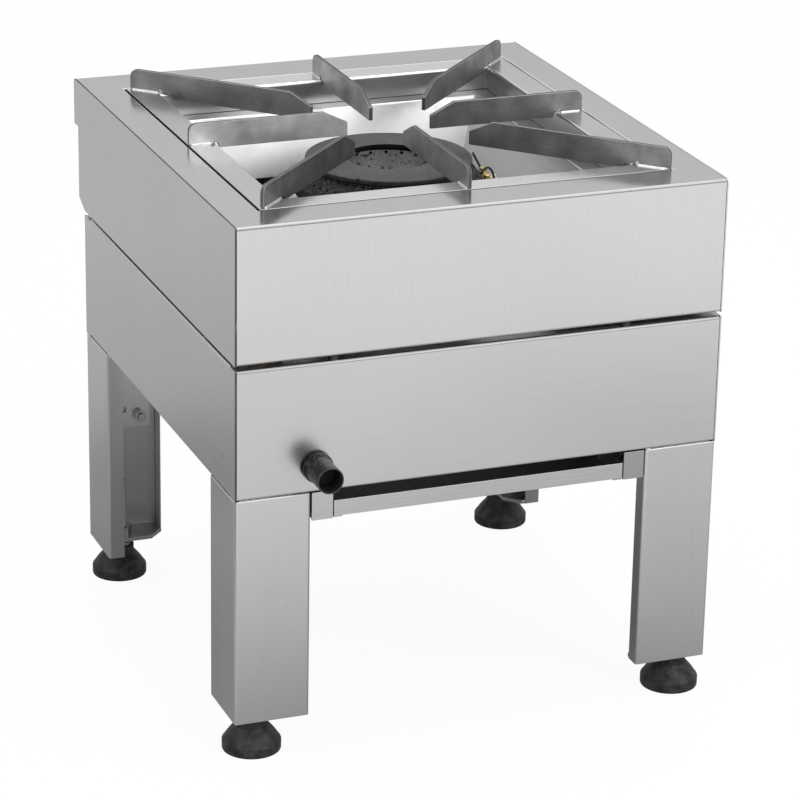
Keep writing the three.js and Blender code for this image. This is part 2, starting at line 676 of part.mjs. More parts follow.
function fixingStuds() {
  const wall = -HALF + LEG_WALL + SEAT;
  const along = -HALF + LEG_WALL + SEAT + POST_WING - STUD_INSET;
  const nutFoot = wall + POST_WALL + SEAT;
  const studs = [];
  for (const drop of [LOWER_STUD_DROP, UPPER_STUD_DROP]) {
    const z = APRON_Z - drop;
    studs.push(['x', [0, along, z], wall, nutFoot], ['y', [along, 0, z], wall, nutFoot]);
  }
  return studs;
}

function cornerPost() {
  const offset = LEG_WALL + SEAT;
  const section = legSection(offset, offset + POST_WING, POST_WALL, 0);
  const body = prism(section, 'z', APRON_Z - POST_DROP, APRON_TOP_Z - SHEET - SEAT);
  const holes = fixingStuds().map(([axis, place, from]) =>
    bar(STUD_RADIUS + SEAT, axis, place, from - POST_WALL, from + 2 * POST_WALL, 8));
  const slotX = -HALF + offset + POST_WING - STUD_INSET - 2 * STUD_NUT_RADIUS;
  const slotZ = APRON_Z - LOWER_STUD_DROP + STUD_RADIUS;
  const slotTop = slotZ + SLOT_LENGTH / 2;
  const slot = box(-HALF, -HALF + 3 * POST_WALL, slotX - SLOT_LENGTH, slotX, slotZ, slotTop);
  return cut(body, [...holes, slot]);
}

function studsAndNuts() {
  return join(fixingStuds().map(([axis, place, from, nutFoot]) => join([
    bar(STUD_RADIUS, axis, place, from - LEG_WALL, nutFoot + STUD_NUT_HEIGHT + STUD_RADIUS, 8),
    bar(STUD_NUT_RADIUS, axis, place, nutFoot, nutFoot + STUD_NUT_HEIGHT, 6),
  ])));
}

function footPlate() {
  const wall = -HALF + LEG_WALL / 2;
  const far = -HALF + LEG_SECTION - LEG_WALL / 2;
  const wide = wall + FOOT_PLATE_WIDTH;
  const outline = [
    [wall, wall],
    [wide, wall],
    [wide, far - FOOT_PLATE_CHAMFER],
    [wide - FOOT_PLATE_CHAMFER, far],
    [wall, far],
  ];
  const low = LEG_BOTTOM_Z;
  const centre = -HALF + FOOT_INSET;
  const plate = prism(outline, 'z', low, low + FOOT_PLATE);
  const nutTop = low + FOOT_PLATE + WELD_NUT_HEIGHT;
  const nut = bar(HEX_RADIUS, 'z', [centre, centre, 0], low, nutTop, 6);
  return cut(plate.add(nut), [
    bar(SPINDLE_RADIUS + SEAT, 'z', [centre, centre, 0], low - FOOT_PLATE, nutTop + FOOT_PLATE),
  ]);
}

// The foot plate and the studs that hold the post are welded into the leg.
function leg() {
  const section = legSection(0, LEG_SECTION, LEG_WALL, LEG_LIP);
  const channel = prism(section, 'z', LEG_BOTTOM_Z, APRON_Z - SEAT);
  return join([channel, footPlate(), studsAndNuts()]);
}

function footPad() {
  const shoulder = PAD_RADIUS - PAD_ROUND;
  const outline = [[0, 0], [shoulder, 0], [PAD_RADIUS, PAD_ROUND], [PAD_RADIUS, PAD_EDGE]];
  const flareFoot = PAD_EDGE + PAD_ROUND;
  const rise = PAD_HEIGHT - PAD_COLLAR - flareFoot;
  const draw = shoulder - PAD_NECK_RADIUS;
  for (let k = 0; k <= BEND_STEPS; k += 1) {
    const t = k / BEND_STEPS;
    outline.push([shoulder - draw * t, flareFoot + rise * t + PAD_CROWN * Math.sin(Math.PI * t)]);
  }
  const socket = PAD_NECK_RADIUS - PAD_WALL;
  const socketFloor = PAD_HEIGHT - PAD_SOCKET;
  outline.push([PAD_NECK_RADIUS, PAD_HEIGHT], [socket, PAD_HEIGHT]);
  outline.push([socket, socketFloor], [0, socketFloor]);
  const centre = -HALF + FOOT_INSET;
  return turned(outline, 'z', [centre, centre, 0]);
}

function footStud() {
  const centre = [-HALF + FOOT_INSET, -HALF + FOOT_INSET, 0];
  const foot = PAD_HEIGHT - PAD_SOCKET + SEAT;
  const hexFoot = PAD_HEIGHT + SEAT;
  return join([
    bar(SPINDLE_RADIUS, 'z', centre, foot, SPINDLE_TOP_Z),
    bar(PAD_NECK_RADIUS - PAD_WALL - SEAT, 'z', centre, foot, hexFoot + SEAT),
    bar(HEX_RADIUS, 'z', centre, hexFoot, LEG_BOTTOM_Z - SEAT, 6),
  ]);
}

function corners() {
  const places = [
    ['front_left', 0],
    ['front_right', Math.PI / 2],
    ['rear_right', Math.PI],
    ['rear_left', -Math.PI / 2],
  ];
  for (const [place, angle] of places) {
    const corner = new THREE.Group();
    corner.rotation.z = angle;
    range.add(corner);
    piece(`leg_${place}`, leg(), steel, corner);
    piece(`corner_post_${place}`, cornerPost(), steel, corner);
    piece(`foot_stud_${place}`, footStud(), zinc, corner);
    piece(`foot_pad_${place}`, footPad(), blackPlastic, corner);
  }
}

// ---------------------------------------------------------------- burner
// The casting's outline, in steps of its wall, with the mixing tube and four lugs under it.
function burnerBody() {
  const rim = CAP_TOP_Z - CAP_THICKNESS - SEAT;
  const wall = BURNER_WALL;
  const floor = BURNER_FLOOR_Z;
  const outside = [
    [CONE_TOP_RADIUS, rim],
    [BURNER_RADIUS, CONE_BOTTOM_Z],
    [BURNER_RADIUS, CONE_BOTTOM_Z - 1.8 * wall],
    [BURNER_RADIUS - 1.2 * wall, CONE_BOTTOM_Z - 3.4 * wall],
    [CHANNEL_RADIUS + 1.8 * wall, floor + 0.4 * wall],
    [CHANNEL_RADIUS, floor],
    [CHANNEL_RADIUS - 2 * wall, floor + 0.4 * wall],
    [INNER_WALL_RADIUS - 0.8 * wall, floor + 2.4 * wall],
    [INNER_WALL_RADIUS, floor + 5.2 * wall],
    [INNER_WALL_RADIUS, rim],
  ];
  const inside = [
    [INNER_WALL_RADIUS + wall, rim],
    [INNER_WALL_RADIUS + wall, floor + 4.4 * wall],
    [CHANNEL_RADIUS - 1.6 * wall, floor + 1.8 * wall],
    [CHANNEL_RADIUS, floor + 1.2 * wall],
    [CHANNEL_RADIUS + 1.6 * wall, floor + 1.6 * wall],
    [BURNER_RADIUS - 2 * wall, CONE_BOTTOM_Z - 2.6 * wall],
    [BURNER_RADIUS - wall, CONE_BOTTOM_Z - 0.6 * wall],
    [CONE_TOP_RADIUS - wall, rim],
  ];
  const centre = [0, PAN_Y, 0];
  const ring = turned([...outside, ...inside], 'z', centre, BURNER_ROUND);
  const elbow = [-CHANNEL_RADIUS, PAN_Y, 0];
  const tubeAxis = [0, PAN_Y, TUBE_Z];
  const tubeWall = TUBE_RADIUS - TUBE_BORE;
  const bellEnd = TUBE_END_X + BELL_LENGTH;
  const bell = turned([
    [0, TUBE_END_X], [BELL_RADIUS, TUBE_END_X], [TUBE_RADIUS, bellEnd], [0, bellEnd],
  ], 'x', tubeAxis, TUBE_ROUND);
  const throat = turned([
    [0, TUBE_END_X - SEAT], [BELL_RADIUS - tubeWall / 2, TUBE_END_X - SEAT],
    [TUBE_BORE, bellEnd], [0, bellEnd],
  ], 'x', tubeAxis, TUBE_ROUND);
  const lugs = [];
  for (const sx of [-1, 1]) {
    for (const sy of [-1, 1]) {
      const place = [sx * CROSSBAR_SPREAD, PAN_Y + sy * CROSSBAR_SPREAD, 0];
      lugs.push(bar(LUG_RADIUS, 'z', place, CROSSBAR_Z + SEAT, floor + 0.8 * wall));
    }
  }
  const elbowFoot = TUBE_Z - TUBE_RADIUS;
  const solid = join([
    ring,
    bar(TUBE_RADIUS, 'z', elbow, elbowFoot, floor + 0.8 * wall, TUBE_ROUND),
    bar(TUBE_RADIUS, 'x', tubeAxis, TUBE_END_X + SEAT, -CHANNEL_RADIUS, TUBE_ROUND),
    bell,
    ...lugs,
  ]);
  return cut(solid, [
    bar(TUBE_BORE, 'z', elbow, elbowFoot + tubeWall, floor - 0.2 * wall, TUBE_ROUND),
    bar(GAS_HOLE_RADIUS, 'z', elbow, floor - 0.4 * wall, floor + 2.4 * wall, 16),
    bar(TUBE_BORE, 'x', tubeAxis, TUBE_END_X + SEAT, -CHANNEL_RADIUS, TUBE_ROUND),
    throat,
  ]);
}

function burnerCap() {
  const low = CAP_TOP_Z - CAP_THICKNESS;
  const lip = INNER_WALL_RADIUS + BURNER_WALL + SEAT;
  const outline = [
    [CAP_HOLE, low + CAP_EDGE],
    [CAP_HOLE, CAP_TOP_Z - CAP_EDGE],
    [CAP_HOLE + CAP_EDGE, CAP_TOP_Z],
    [CAP_RADIUS - CAP_EDGE, CAP_TOP_Z],
    [CAP_RADIUS, CAP_TOP_Z - CAP_EDGE],
    [CAP_RADIUS, low + CAP_EDGE],
    [CAP_RADIUS - CAP_EDGE, low],
    [lip + CAP_LIP_WALL, low],
    [lip + CAP_LIP_WALL, low - CAP_LIP],
    [lip, low - CAP_LIP],
    [lip, low],
    [CAP_HOLE + CAP_EDGE, low],
  ];
  return turned(outline, 'z', [0, PAN_Y, 0], BURNER_ROUND);
}

function crossbars() {
  const level = HOOD_Z + SHEET + SEAT + CROSSBAR_WALL;
  const end = HALF - SHEET - END_GAP;
  const foot = HALF - FOLD - END_GAP;
  const path = [
    [-end, level],
    [-foot, level],
    [CROSSBAR_SLOPE - foot, CROSSBAR_Z],
    [foot - CROSSBAR_SLOPE, CROSSBAR_Z],
    [foot, level],
    [end, level],
  ];
  const section = bentSheet(path, -CROSSBAR_WALL, 2 * CROSSBAR_WALL);
  for (const [name, side] of [['burner_bar_front', -1], ['burner_bar_rear', 1]]) {
    const y = PAN_Y + side * CROSSBAR_SPREAD;
    const body = prism(section, 'y', y - CROSSBAR_WIDTH / 2, y + CROSSBAR_WIDTH / 2);
    piece(name, body, steel);
  }
}

function burner() {
  piece('burner_body', burnerBody(), castIron);
  piece('burner_cap', burnerCap(), castIron);
  crossbars();
}

// ---------------------------------------------------------------- gas line
const BRACKET_X = TUBE_END_X - INJECTOR_GAP;
const PIPE_X = BRACKET_X - HOLDER_REACH; // where the burner pipe runs to the rear
const PIPE_ENTRY_Y = PAN_Y - HOLDER_RADIUS - HOLDER_BOSS;
const OUTLET_Y = TAP_REAR - OUTLET_INSET;
const OUTLET_TOP_Z = TAP_Z + TAP_SIZE / 2 + OUTLET_RISE;

function injector() {
  const foot = HOOD_Z + SHEET + SEAT;
  const wall = -HALF + SHEET + END_GAP;
  const path = [[wall, foot], [BRACKET_X, foot], [BRACKET_X, TUBE_Z + BELL_RADIUS]];
  const centre = [0, PAN_Y, TUBE_Z];
  const plate = prism(bentSheet(path, BRACKET_WALL, BEND), 'y',
    PAN_Y - BRACKET_WIDTH / 2, PAN_Y + BRACKET_WIDTH / 2);
  const hole = bar(HOLDER_RADIUS + SEAT, 'x', centre, BRACKET_X - 2 * BRACKET_WALL,
    BRACKET_X + 2 * BRACKET_WALL);
  piece('injector_bracket', cut(plate, [hole]), steel);
  const face = BRACKET_X + SEAT;
  piece('injector_holder', join([
    bar(HOLDER_RADIUS, 'x', centre, PIPE_X - HOLDER_RADIUS, face + HOLDER_NUT / 2),
    bar(HOLDER_NUT_RADIUS, 'x', centre, face, face + HOLDER_NUT, 6),
    bar(PIPE_RADIUS + BRACKET_WALL, 'y', [PIPE_X, 0, TUBE_Z], PIPE_ENTRY_Y, PAN_Y),
  ]), brass);
  const jet = face + HOLDER_NUT + SEAT;
  piece('injector_nozzle', join([
    bar(JET_HEX_RADIUS, 'x', centre, jet, jet + JET_HEX, 6),
    bar(JET_RADIUS, 'x', centre, jet + JET_HEX / 2, jet + JET_LENGTH),
  ]), brass);
}

function gasTap() {
  const half = TAP_SIZE / 2;
  const axis = [TAP_X, 0, TAP_Z];
  const plugFront = TAP_FRONT + PLUG_INSET;
  const plugRear = plugFront + PLUG_LENGTH;
  const body = join([
    box(TAP_X - half, TAP_X + half, TAP_FRONT, TAP_REAR, TAP_Z - half, TAP_Z + half),
    bar(OUTLET_RADIUS, 'z', [TAP_X, OUTLET_Y, 0], TAP_Z, OUTLET_TOP_Z, 6),
    bar(UNION_RADIUS, 'y', axis, TAP_REAR - PLUG_FLOOR, TAP_REAR + UNION_LENGTH, 6),
  ]);
  const chamber = bar(PLUG_RADIUS + SEAT, 'y', axis, TAP_FRONT - SEAT, plugRear + SEAT, TUBE_ROUND);
  piece('gas_tap_body', cut(body, [chamber]), brass);
  const plug = cut(bar(PLUG_RADIUS, 'y', axis, plugFront, plugRear, TUBE_ROUND), [
    bar(SHAFT_RADIUS + SEAT, 'y', axis, plugFront - SEAT, plugRear - PLUG_FLOOR),
  ]);
  piece('tap_plug', plug, brass);
  const shaftEnd = plugRear - PLUG_FLOOR - SEAT - KNOB_TRAVEL;
  const shaftFront = KNOB_FRONT + KNOB_BORE_DEPTH + KNOB_SOCKET;
  piece('tap_spindle', bar(SHAFT_RADIUS, 'y', axis, shaftFront, shaftEnd), zinc);
}

function controlKnob() {
  const back = FRONT - KNOB_TRAVEL - SEAT;
  const floor = KNOB_FRONT + KNOB_BORE_DEPTH;
  const outline = [
    [0, floor],
    [KNOB_BORE - KNOB_EDGE, floor],
    [KNOB_BORE, floor - 2 * KNOB_EDGE],
    [KNOB_BORE, KNOB_FRONT],
    [KNOB_RADIUS - KNOB_EDGE / 2, KNOB_FRONT],
    [KNOB_RADIUS, KNOB_FRONT + KNOB_EDGE],
    [KNOB_RADIUS, back - 2 * KNOB_FLANGE],
    [KNOB_FLANGE_RADIUS - KNOB_EDGE, back - KNOB_FLANGE],
    [KNOB_FLANGE_RADIUS, back - KNOB_FLANGE + KNOB_EDGE],
    [KNOB_FLANGE_RADIUS, back],
    [0, back],
  ];
  const axis = [TAP_X, 0, TAP_Z];
  const shaft = bar(SHAFT_RADIUS + SEAT, 'y', axis, floor + KNOB_SOCKET - SEAT, back + SEAT);
  return cut(turned(outline, 'y', axis), [shaft]);
}

function gasPipes() {
  const route = [
    [TAP_X, OUTLET_Y, OUTLET_TOP_Z + SEAT],
    [TAP_X, OUTLET_Y, TUBE_Z - 1.5 * PIPE_BEND],
    [PIPE_X, OUTLET_Y, TUBE_Z],
    [PIPE_X, PIPE_ENTRY_Y - SEAT, TUBE_Z],
  ];
  piece('burner_pipe', tube(route, PIPE_RADIUS, PIPE_BEND), copper);
  const supplyEnd = REAR - SHEET - INLET_NUT - INLET_TAIL;
  const axis = [TAP_X, 0, TAP_Z];
  const supply = bar(SUPPLY_RADIUS, 'y', axis, TAP_REAR + UNION_LENGTH + SEAT, supplyEnd);
  piece('supply_pipe', supply, copper);
  const inletFront = supplyEnd + SEAT;
  const inletEnd = REAR + INLET_REACH;
  const nutFace = REAR - SHEET - SEAT;
  piece('gas_inlet', cut(join([
    bar(INLET_RADIUS, 'y', axis, inletFront, inletEnd, TUBE_ROUND),
    bar(INLET_NUT_RADIUS, 'y', axis, nutFace - INLET_NUT, nutFace, 6),
  ]), [bar(INLET_BORE, 'y', axis, REAR, inletEnd + SEAT, TUBE_ROUND)]), brass);
}

// ---------------------------------------------------------------- pilot group
const PILOT = [PILOT_X, PILOT_Y - PILOT_INSET];
const ELECTRODE = [PILOT_X + ELECTRODE_OUTSET, PILOT_Y - PILOT_SPREAD];
const COUPLE = [PILOT_X - COUPLE_INSET, PILOT_Y + PILOT_SPREAD];
const SHELF_TOP_Z = SHELF_Z + SHELF_WALL + SEAT;

function pilotBracket() {
  const barTop = CROSSBAR_Z + SEAT;
  const footY = PAN_Y + CROSSBAR_SPREAD + CROSSBAR_WIDTH / 2 - SHELF_WALL;
  const upright = footY - SHELF_FOOT;
  const path = [
    [footY, barTop],
    [upright, barTop],
    [upright, SHELF_Z],
    [upright - SHELF_REACH, SHELF_Z],
  ];
  const body = prism(bentSheet(path, -SHELF_WALL, 1.5 * SHELF_WALL), 'x',
    PILOT_X - SHELF_SIZE / 2, PILOT_X + SHELF_SIZE / 2);
  const hole = (radius, [x, y]) => bar(radius + SEAT, 'z', [x, y, 0], SHELF_Z - 2 * SHELF_WALL,
    SHELF_Z + 2 * SHELF_WALL);
  return cut(body, [
    hole(PILOT_RADIUS, PILOT), hole(ELECTRODE_RADIUS, ELECTRODE), hole(COUPLE_RADIUS, COUPLE),
  ]);
}

function pilotBurner() {
  const place = [...PILOT, 0];
  return join([
    bar(PILOT_HEX_RADIUS, 'z', place, SHELF_TOP_Z, SHELF_TOP_Z + PILOT_HEX, 6),
    bar(PILOT_RADIUS, 'z', place, SHELF_Z - PILOT_STEM, SHELF_TOP_Z + PILOT_STEM),
  ]);
}

function ignitionElectrode() {
  const place = [...ELECTRODE, 0];
  const stemTop = SHELF_TOP_Z + ELECTRODE_STEM;
  return join([
    bar(ELECTRODE_RADIUS, 'z', place, SHELF_Z - COUPLE_STEM, stemTop),
    bar(ELECTRODE_COLLAR_RADIUS, 'z', place, SHELF_TOP_Z, SHELF_TOP_Z + ELECTRODE_COLLAR),
    bar(ELECTRODE_RADIUS / 3, 'z', place, stemTop - SHELF_WALL, stemTop + ELECTRODE_WIRE, 8),
  ]);
}

// Leads and pilot pipe run side by side under the front burner bar and down to the tap.
const LEAD_Z = CROSSBAR_Z - LEAD_DROP;
const DROP_X = TAP_SIDE + LEAD_OUTSET;

function thermocoupleLead() {
  const level = LEAD_Z + LEAD_STEP;
  const lane = TAP_REAR - LEAD_STEP;
  const dropX = DROP_X + LEAD_STEP;
  const entryZ = TAP_Z - TAP_SIZE / 2 + SHELF_WALL;
  return tube([
    [...COUPLE, SHELF_Z - COUPLE_STEM + SHELF_WALL],
    [...COUPLE, level],
    [COUPLE[0], lane, level],
    [dropX, lane, level],
    [dropX, lane, entryZ],
    [TAP_SIDE, lane, entryZ],
  ], THERMO_LEAD_RADIUS, LEAD_BEND);
}

function thermocouple() {
  const place = [...COUPLE, 0];
  const tip = [
    CAP_RADIUS + COUPLE_TIP_GAP, PAN_Y + COUPLE_TIP_OFFSET, CAP_TOP_Z - COUPLE_TIP_DROP,
  ];
  const route = [
    [...COUPLE, SHELF_TOP_Z + COUPLE_NUT],
    [COUPLE[0], COUPLE[1], SHELF_TOP_Z + COUPLE_STEM],
    tip,
  ];
  return join([
    bar(COUPLE_NUT_RADIUS, 'z', place, SHELF_TOP_Z, SHELF_TOP_Z + COUPLE_NUT, 6),
    bar(COUPLE_RADIUS, 'z', place, SHELF_Z - COUPLE_STEM, SHELF_TOP_Z + COUPLE_STEM),
    tube(route, COUPLE_TIP_RADIUS, COUPLE_TIP_RADIUS * 2),
    thermocoupleLead(),
  ]);
}

function pilotPipe() {
  const lane = TAP_REAR - 2.5 * LEAD_STEP;
  const entryZ = TAP_Z + PIEZO_INSET;
  return tube([
    [...PILOT, SHELF_Z - PILOT_STEM - SEAT],
    [...PILOT, LEAD_Z],
    [PILOT_X, lane, LEAD_Z],
    [DROP_X, lane, LEAD_Z],
    [DROP_X, lane, entryZ],
    [TAP_SIDE, lane, entryZ],
  ], PILOT_PIPE_RADIUS, LEAD_BEND);
}

function pilotGroup() {
  piece('pilot_bracket', pilotBracket(), steel);
  piece('pilot_burner', pilotBurner(), brass);
  piece('thermocouple', thermocouple(), copper);
  piece('ignition_electrode', ignitionElectrode(), ceramic);
  piece('pilot_pipe', pilotPipe(), copper);
}

// The spark button's box sits beside the tap, and its lead runs above the others.
function ignition() {
  const rear = TAP_REAR - PIEZO_INSET;
  const top = TAP_Z + PIEZO_RISE;
  const low = top - PIEZO_HEIGHT;
  const leadX = TAP_SIDE + PIEZO_WIDTH / 2;
  const leadZ = (top + low) / 2;
  const lane = TAP_REAR + LEAD_STEP;
  const level = LEAD_Z + 2 * LEAD_STEP;
  piece('ignition_lead', tube([
    [...ELECTRODE, SHELF_Z - COUPLE_STEM - SEAT],
    [...ELECTRODE, level],
    [ELECTRODE[0], lane, level],
    [leadX, lane, level],
    [leadX, lane, leadZ],
    [leadX, rear + SEAT, leadZ],
  ], IGNITION_LEAD_RADIUS, LEAD_BEND), blackPlastic);
  const piezo = box(TAP_SIDE, TAP_SIDE + PIEZO_WIDTH, TAP_FRONT, rear, low, top);
  piece('piezo_igniter', piezo, blackPlastic);
}

// ---------------------------------------------------------------- drip tray
function railsAndTray() {
  const top = APRON_Z - SEAT;
  const low = top - RAIL_HEIGHT;
  const outer = HALF - LEG_SECTION - RAIL_GAP;
  const inner = outer - RAIL_WIDTH;
  for (const [name, side] of [['tray_rail_left', -1], ['tray_rail_right', 1]]) {
    const path = [
      [side * (inner - RAIL_LEDGE), low],
      [side * outer, low],
      [side * outer, top],
      [side * inner, top],
    ];
    const channel = prism(bentSheet(path, side * SHEET, BEND), 'y', FRONT + SHEET, REAR);
    const tab = box(side * inner, side * outer, FRONT, FRONT + SHEET, low, top);
    piece(name, channel.add(tab), steel);
  }
  const half = inner - TRAY_PLAY;
  const floor = low + SHEET + SEAT;
  const wall = TRAY_WALL;
  const rear = REAR - TRAY_REAR_GAP;
  const tray = cut(box(-half, half, FRONT + SEAT, rear, floor, floor + TRAY_HEIGHT), [
    box(-half + wall, half - wall, FRONT + SEAT + wall, rear - wall, floor + wall,
      floor + TRAY_HEIGHT + wall),
  ]);
  piece('drip_tray', tray, steel);
}

panFrame();
supportBars();
hoodTop();
hoodSides();
hoodRear();
spillBasin();
apronFrontAndRear();
apronSides();
corners();
burner();
injector();
gasTap();
piece('control_knob', controlKnob(), blackPlastic);
gasPipes();
pilotGroup();
ignition();
railsAndTray();

// The origin is under the middle of the whole, from the knob's end to the rear rim.
range.position.y = -(KNOB_FRONT + RIM_REAR) / 2;

export default range;
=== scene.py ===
# %% [markdown]
# # A stock pot range
#
# The object is a low gas cooker of brushed stainless sheet: two housings on open legs, a lift-out
# pan support with eight upright bars, and a ring burner in a steep basin. Its CAD model says where
# every piece is. This lesson gives each piece the finer shape and the finish of the real one.

# %% Load the frame
import json
from math import cos, hypot, pi, radians, sin

import bmesh
import bpy
from mathutils import Matrix, Vector


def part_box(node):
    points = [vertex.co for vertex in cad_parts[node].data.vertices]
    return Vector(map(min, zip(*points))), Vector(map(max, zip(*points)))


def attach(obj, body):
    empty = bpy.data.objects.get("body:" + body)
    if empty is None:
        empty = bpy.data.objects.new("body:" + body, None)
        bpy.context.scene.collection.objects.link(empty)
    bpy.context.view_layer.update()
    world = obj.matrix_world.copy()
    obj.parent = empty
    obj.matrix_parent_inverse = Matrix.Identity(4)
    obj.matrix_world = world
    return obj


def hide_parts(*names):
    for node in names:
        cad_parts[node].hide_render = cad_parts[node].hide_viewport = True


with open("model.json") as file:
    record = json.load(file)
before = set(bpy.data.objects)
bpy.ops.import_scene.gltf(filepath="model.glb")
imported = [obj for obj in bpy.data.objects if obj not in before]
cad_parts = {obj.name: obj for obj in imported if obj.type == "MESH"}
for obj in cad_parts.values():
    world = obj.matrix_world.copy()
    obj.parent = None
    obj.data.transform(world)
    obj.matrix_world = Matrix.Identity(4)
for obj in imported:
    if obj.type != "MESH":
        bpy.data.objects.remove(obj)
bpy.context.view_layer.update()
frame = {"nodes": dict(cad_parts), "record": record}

scene = bpy.context.scene
MM = 0.001
CORNERS = ("front_left", "front_right", "rear_right", "rear_left")
BODY_OF = {n: b for b, names in frame["record"]["behaviour"]["bodies"].items() for n in names}

# %% [markdown]
# ## Camera
#
# A catalogue photograph of this kind is taken with a long lens from a little above. The place and
# turn below were found by fitting the housing's corners, so verticals lean as they do there.

# %% Camera
CAMERA_PLACE = (-1.1964, -3.0906, 1.5203)
CAMERA_TURN = (69.104, -0.992, -20.964)  # degrees
LENS = 155.25  # mm
FILM_WIDTH = 36  # mm
FAR_LIMIT = 50  # metres


def linked(name, data):
    """A new object of the scene that holds the given mesh, lamp, camera or curve."""
    obj = bpy.data.objects.new(name, data)
    scene.collection.objects.link(obj)
    return obj


camera_data = bpy.data.cameras.new("camera")
camera_data.lens = LENS
camera_data.sensor_width = FILM_WIDTH
camera_data.clip_end = FAR_LIMIT
camera = linked("camera", camera_data)
camera.location = CAMERA_PLACE
camera.rotation_euler = [radians(angle) for angle in CAMERA_TURN]
scene.camera = camera
scene.view_settings.view_transform = "Standard"
print("camera at", CAMERA_PLACE)

# %% [markdown]
# ## Nodes in a few words
#
# Every finish below is a small tree of nodes. Trees could be drawn by hand in the shader editor, but
# written as code they stay short and can be repeated. One helper adds a node and links or sets its
# inputs, and the others are the few sums that every tree needs.

# %% Helpers for any node tree
def add(tree, kind, inputs=None, **settings):
    """Adds a node to a tree. An input that is given a socket is linked, any other is set."""
    node = tree.nodes.new(kind)
    for name, value in settings.items():
        setattr(node, name, value)
    for name, value in (inputs or {}).items():
        if isinstance(value, bpy.types.NodeSocket):
            tree.links.new(value, node.inputs[name])
        else:
            node.inputs[name].default_value = value
    return node


def maths(tree, operation, *values):
    """The result of a Math node on one or two numbers."""
    return add(tree, "ShaderNodeMath", dict(enumerate(values)), operation=operation).outputs[0]


def times(tree, first, second):
    return maths(tree, "MULTIPLY", first, second)


def vector_maths(tree, operation, *values):
    """The result of a Vector Math node: a number for a length or a distance, else a vector."""
    node = add(tree, "ShaderNodeVectorMath", dict(enumerate(values)), operation=operation)
    return node.outputs["Value" if operation in ("LENGTH", "DISTANCE") else "Vector"]


def scaled(tree, vector, factor):
    """A vector or a colour times a number."""
    inputs = {0: vector, "Scale": factor}
    return add(tree, "ShaderNodeVectorMath", inputs, operation="SCALE").outputs["Vector"]


def remapped(tree, value, start, end, low, high, **settings):
    """Maps a value from start..end to low..high, and never past them."""
    inputs = {"Value": value, "From Min": start, "From Max": end, "To Min": low, "To Max": high}
    return add(tree, "ShaderNodeMapRange", inputs, **settings).outputs["Result"]


def ramp(tree, value, start, end, low, high):
    """The same with a smooth start and end."""
    return remapped(tree, value, start, end, low, high, interpolation_type="SMOOTHSTEP")


def mixed(tree, share, first, second):
    return add(tree, "ShaderNodeMix", {"Factor": share, "A": first, "B": second}).outputs["Result"]


print("node helpers ready")

# %% Helpers for finishes
NOISE_MIDDLE = (0.3, 0.7)  # nearly all of a noise lies between these


def new_finish(name, tone, metallic, roughness, **sockets):
    """A material with its constant values on its shader's own sockets, its tree and its shader."""
    material = bpy.data.materials.new(name)
    material.use_nodes = True
    tree = material.node_tree
    shader = tree.nodes["Principled BSDF"]
    shader.inputs["Base Color"].default_value = (*tone, 1)
    shader.inputs["Metallic"].default_value = metallic
    shader.inputs["Roughness"].default_value = roughness
    for socket, value in sockets.items():
        shader.inputs[socket.replace("_", " ")].default_value = value
    return material, tree, shader


def noise(tree, scale, detail=3):
    """Noise on the object's own coordinates; the scale is one number or one for each axis."""
    place = add(tree, "ShaderNodeTexCoord").outputs["Object"]
    factors = scale if isinstance(scale, tuple) else (scale,) * 3
    inputs = {"Vector": vector_maths(tree, "MULTIPLY", place, factors), "Scale": 1.0, "Detail": detail}
    return add(tree, "ShaderNodeTexNoise", inputs).outputs["Fac"]


def spread(tree, value, low, high, start=NOISE_MIDDLE[0], end=NOISE_MIDDLE[1]):
    """Maps a noise value from start..end to low..high."""
    return remapped(tree, value, start, end, low, high)


def shade(tree, shader, tone, factor):
    """Makes the base colour the tone times a factor that varies over the surface."""
    tree.links.new(scaled(tree, tone, factor), shader.inputs["Base Color"])


def vary_roughness(tree, shader, texture, roughness, change):
    """Lets the roughness differ by up to the given change where a noise is high or low."""
    rough = spread(tree, texture, roughness - change, roughness + change)
    tree.links.new(rough, shader.inputs["Roughness"])


def bump(tree, shader, height, strength, distance):
    inputs = {"Height": height, "Strength": strength, "Distance": distance}
    tree.links.new(add(tree, "ShaderNodeBump", inputs).outputs["Normal"], shader.inputs["Normal"])


print("finish helpers ready")

# %% [markdown]
# ## Studio
#
# The range stands on a plain pale floor in soft light. The world is white where it is seen directly,
# gives the matt surfaces a plain grey light, and is darker near the horizon for mirrored rays, as a
# real room is. A picture of a room could do the same, but a few ramps are lighter and can be tuned.

# %% World
WORLD_LIGHT = 0.50  # what lights matt surfaces
HORIZON = 0.56  # what steel sees of the room, low down behind
FRONT_HORIZON = 0.30  # and low down in front, where the camera stands
OVERHEAD = 1.0
FRONT_TO_REAR = (-0.5, 0.2)  # where a ray's y passes from the front's light to the rear's
HORIZON_TO_OVERHEAD = (0.15, 0.75)  # and its z from the horizon's to the light overhead

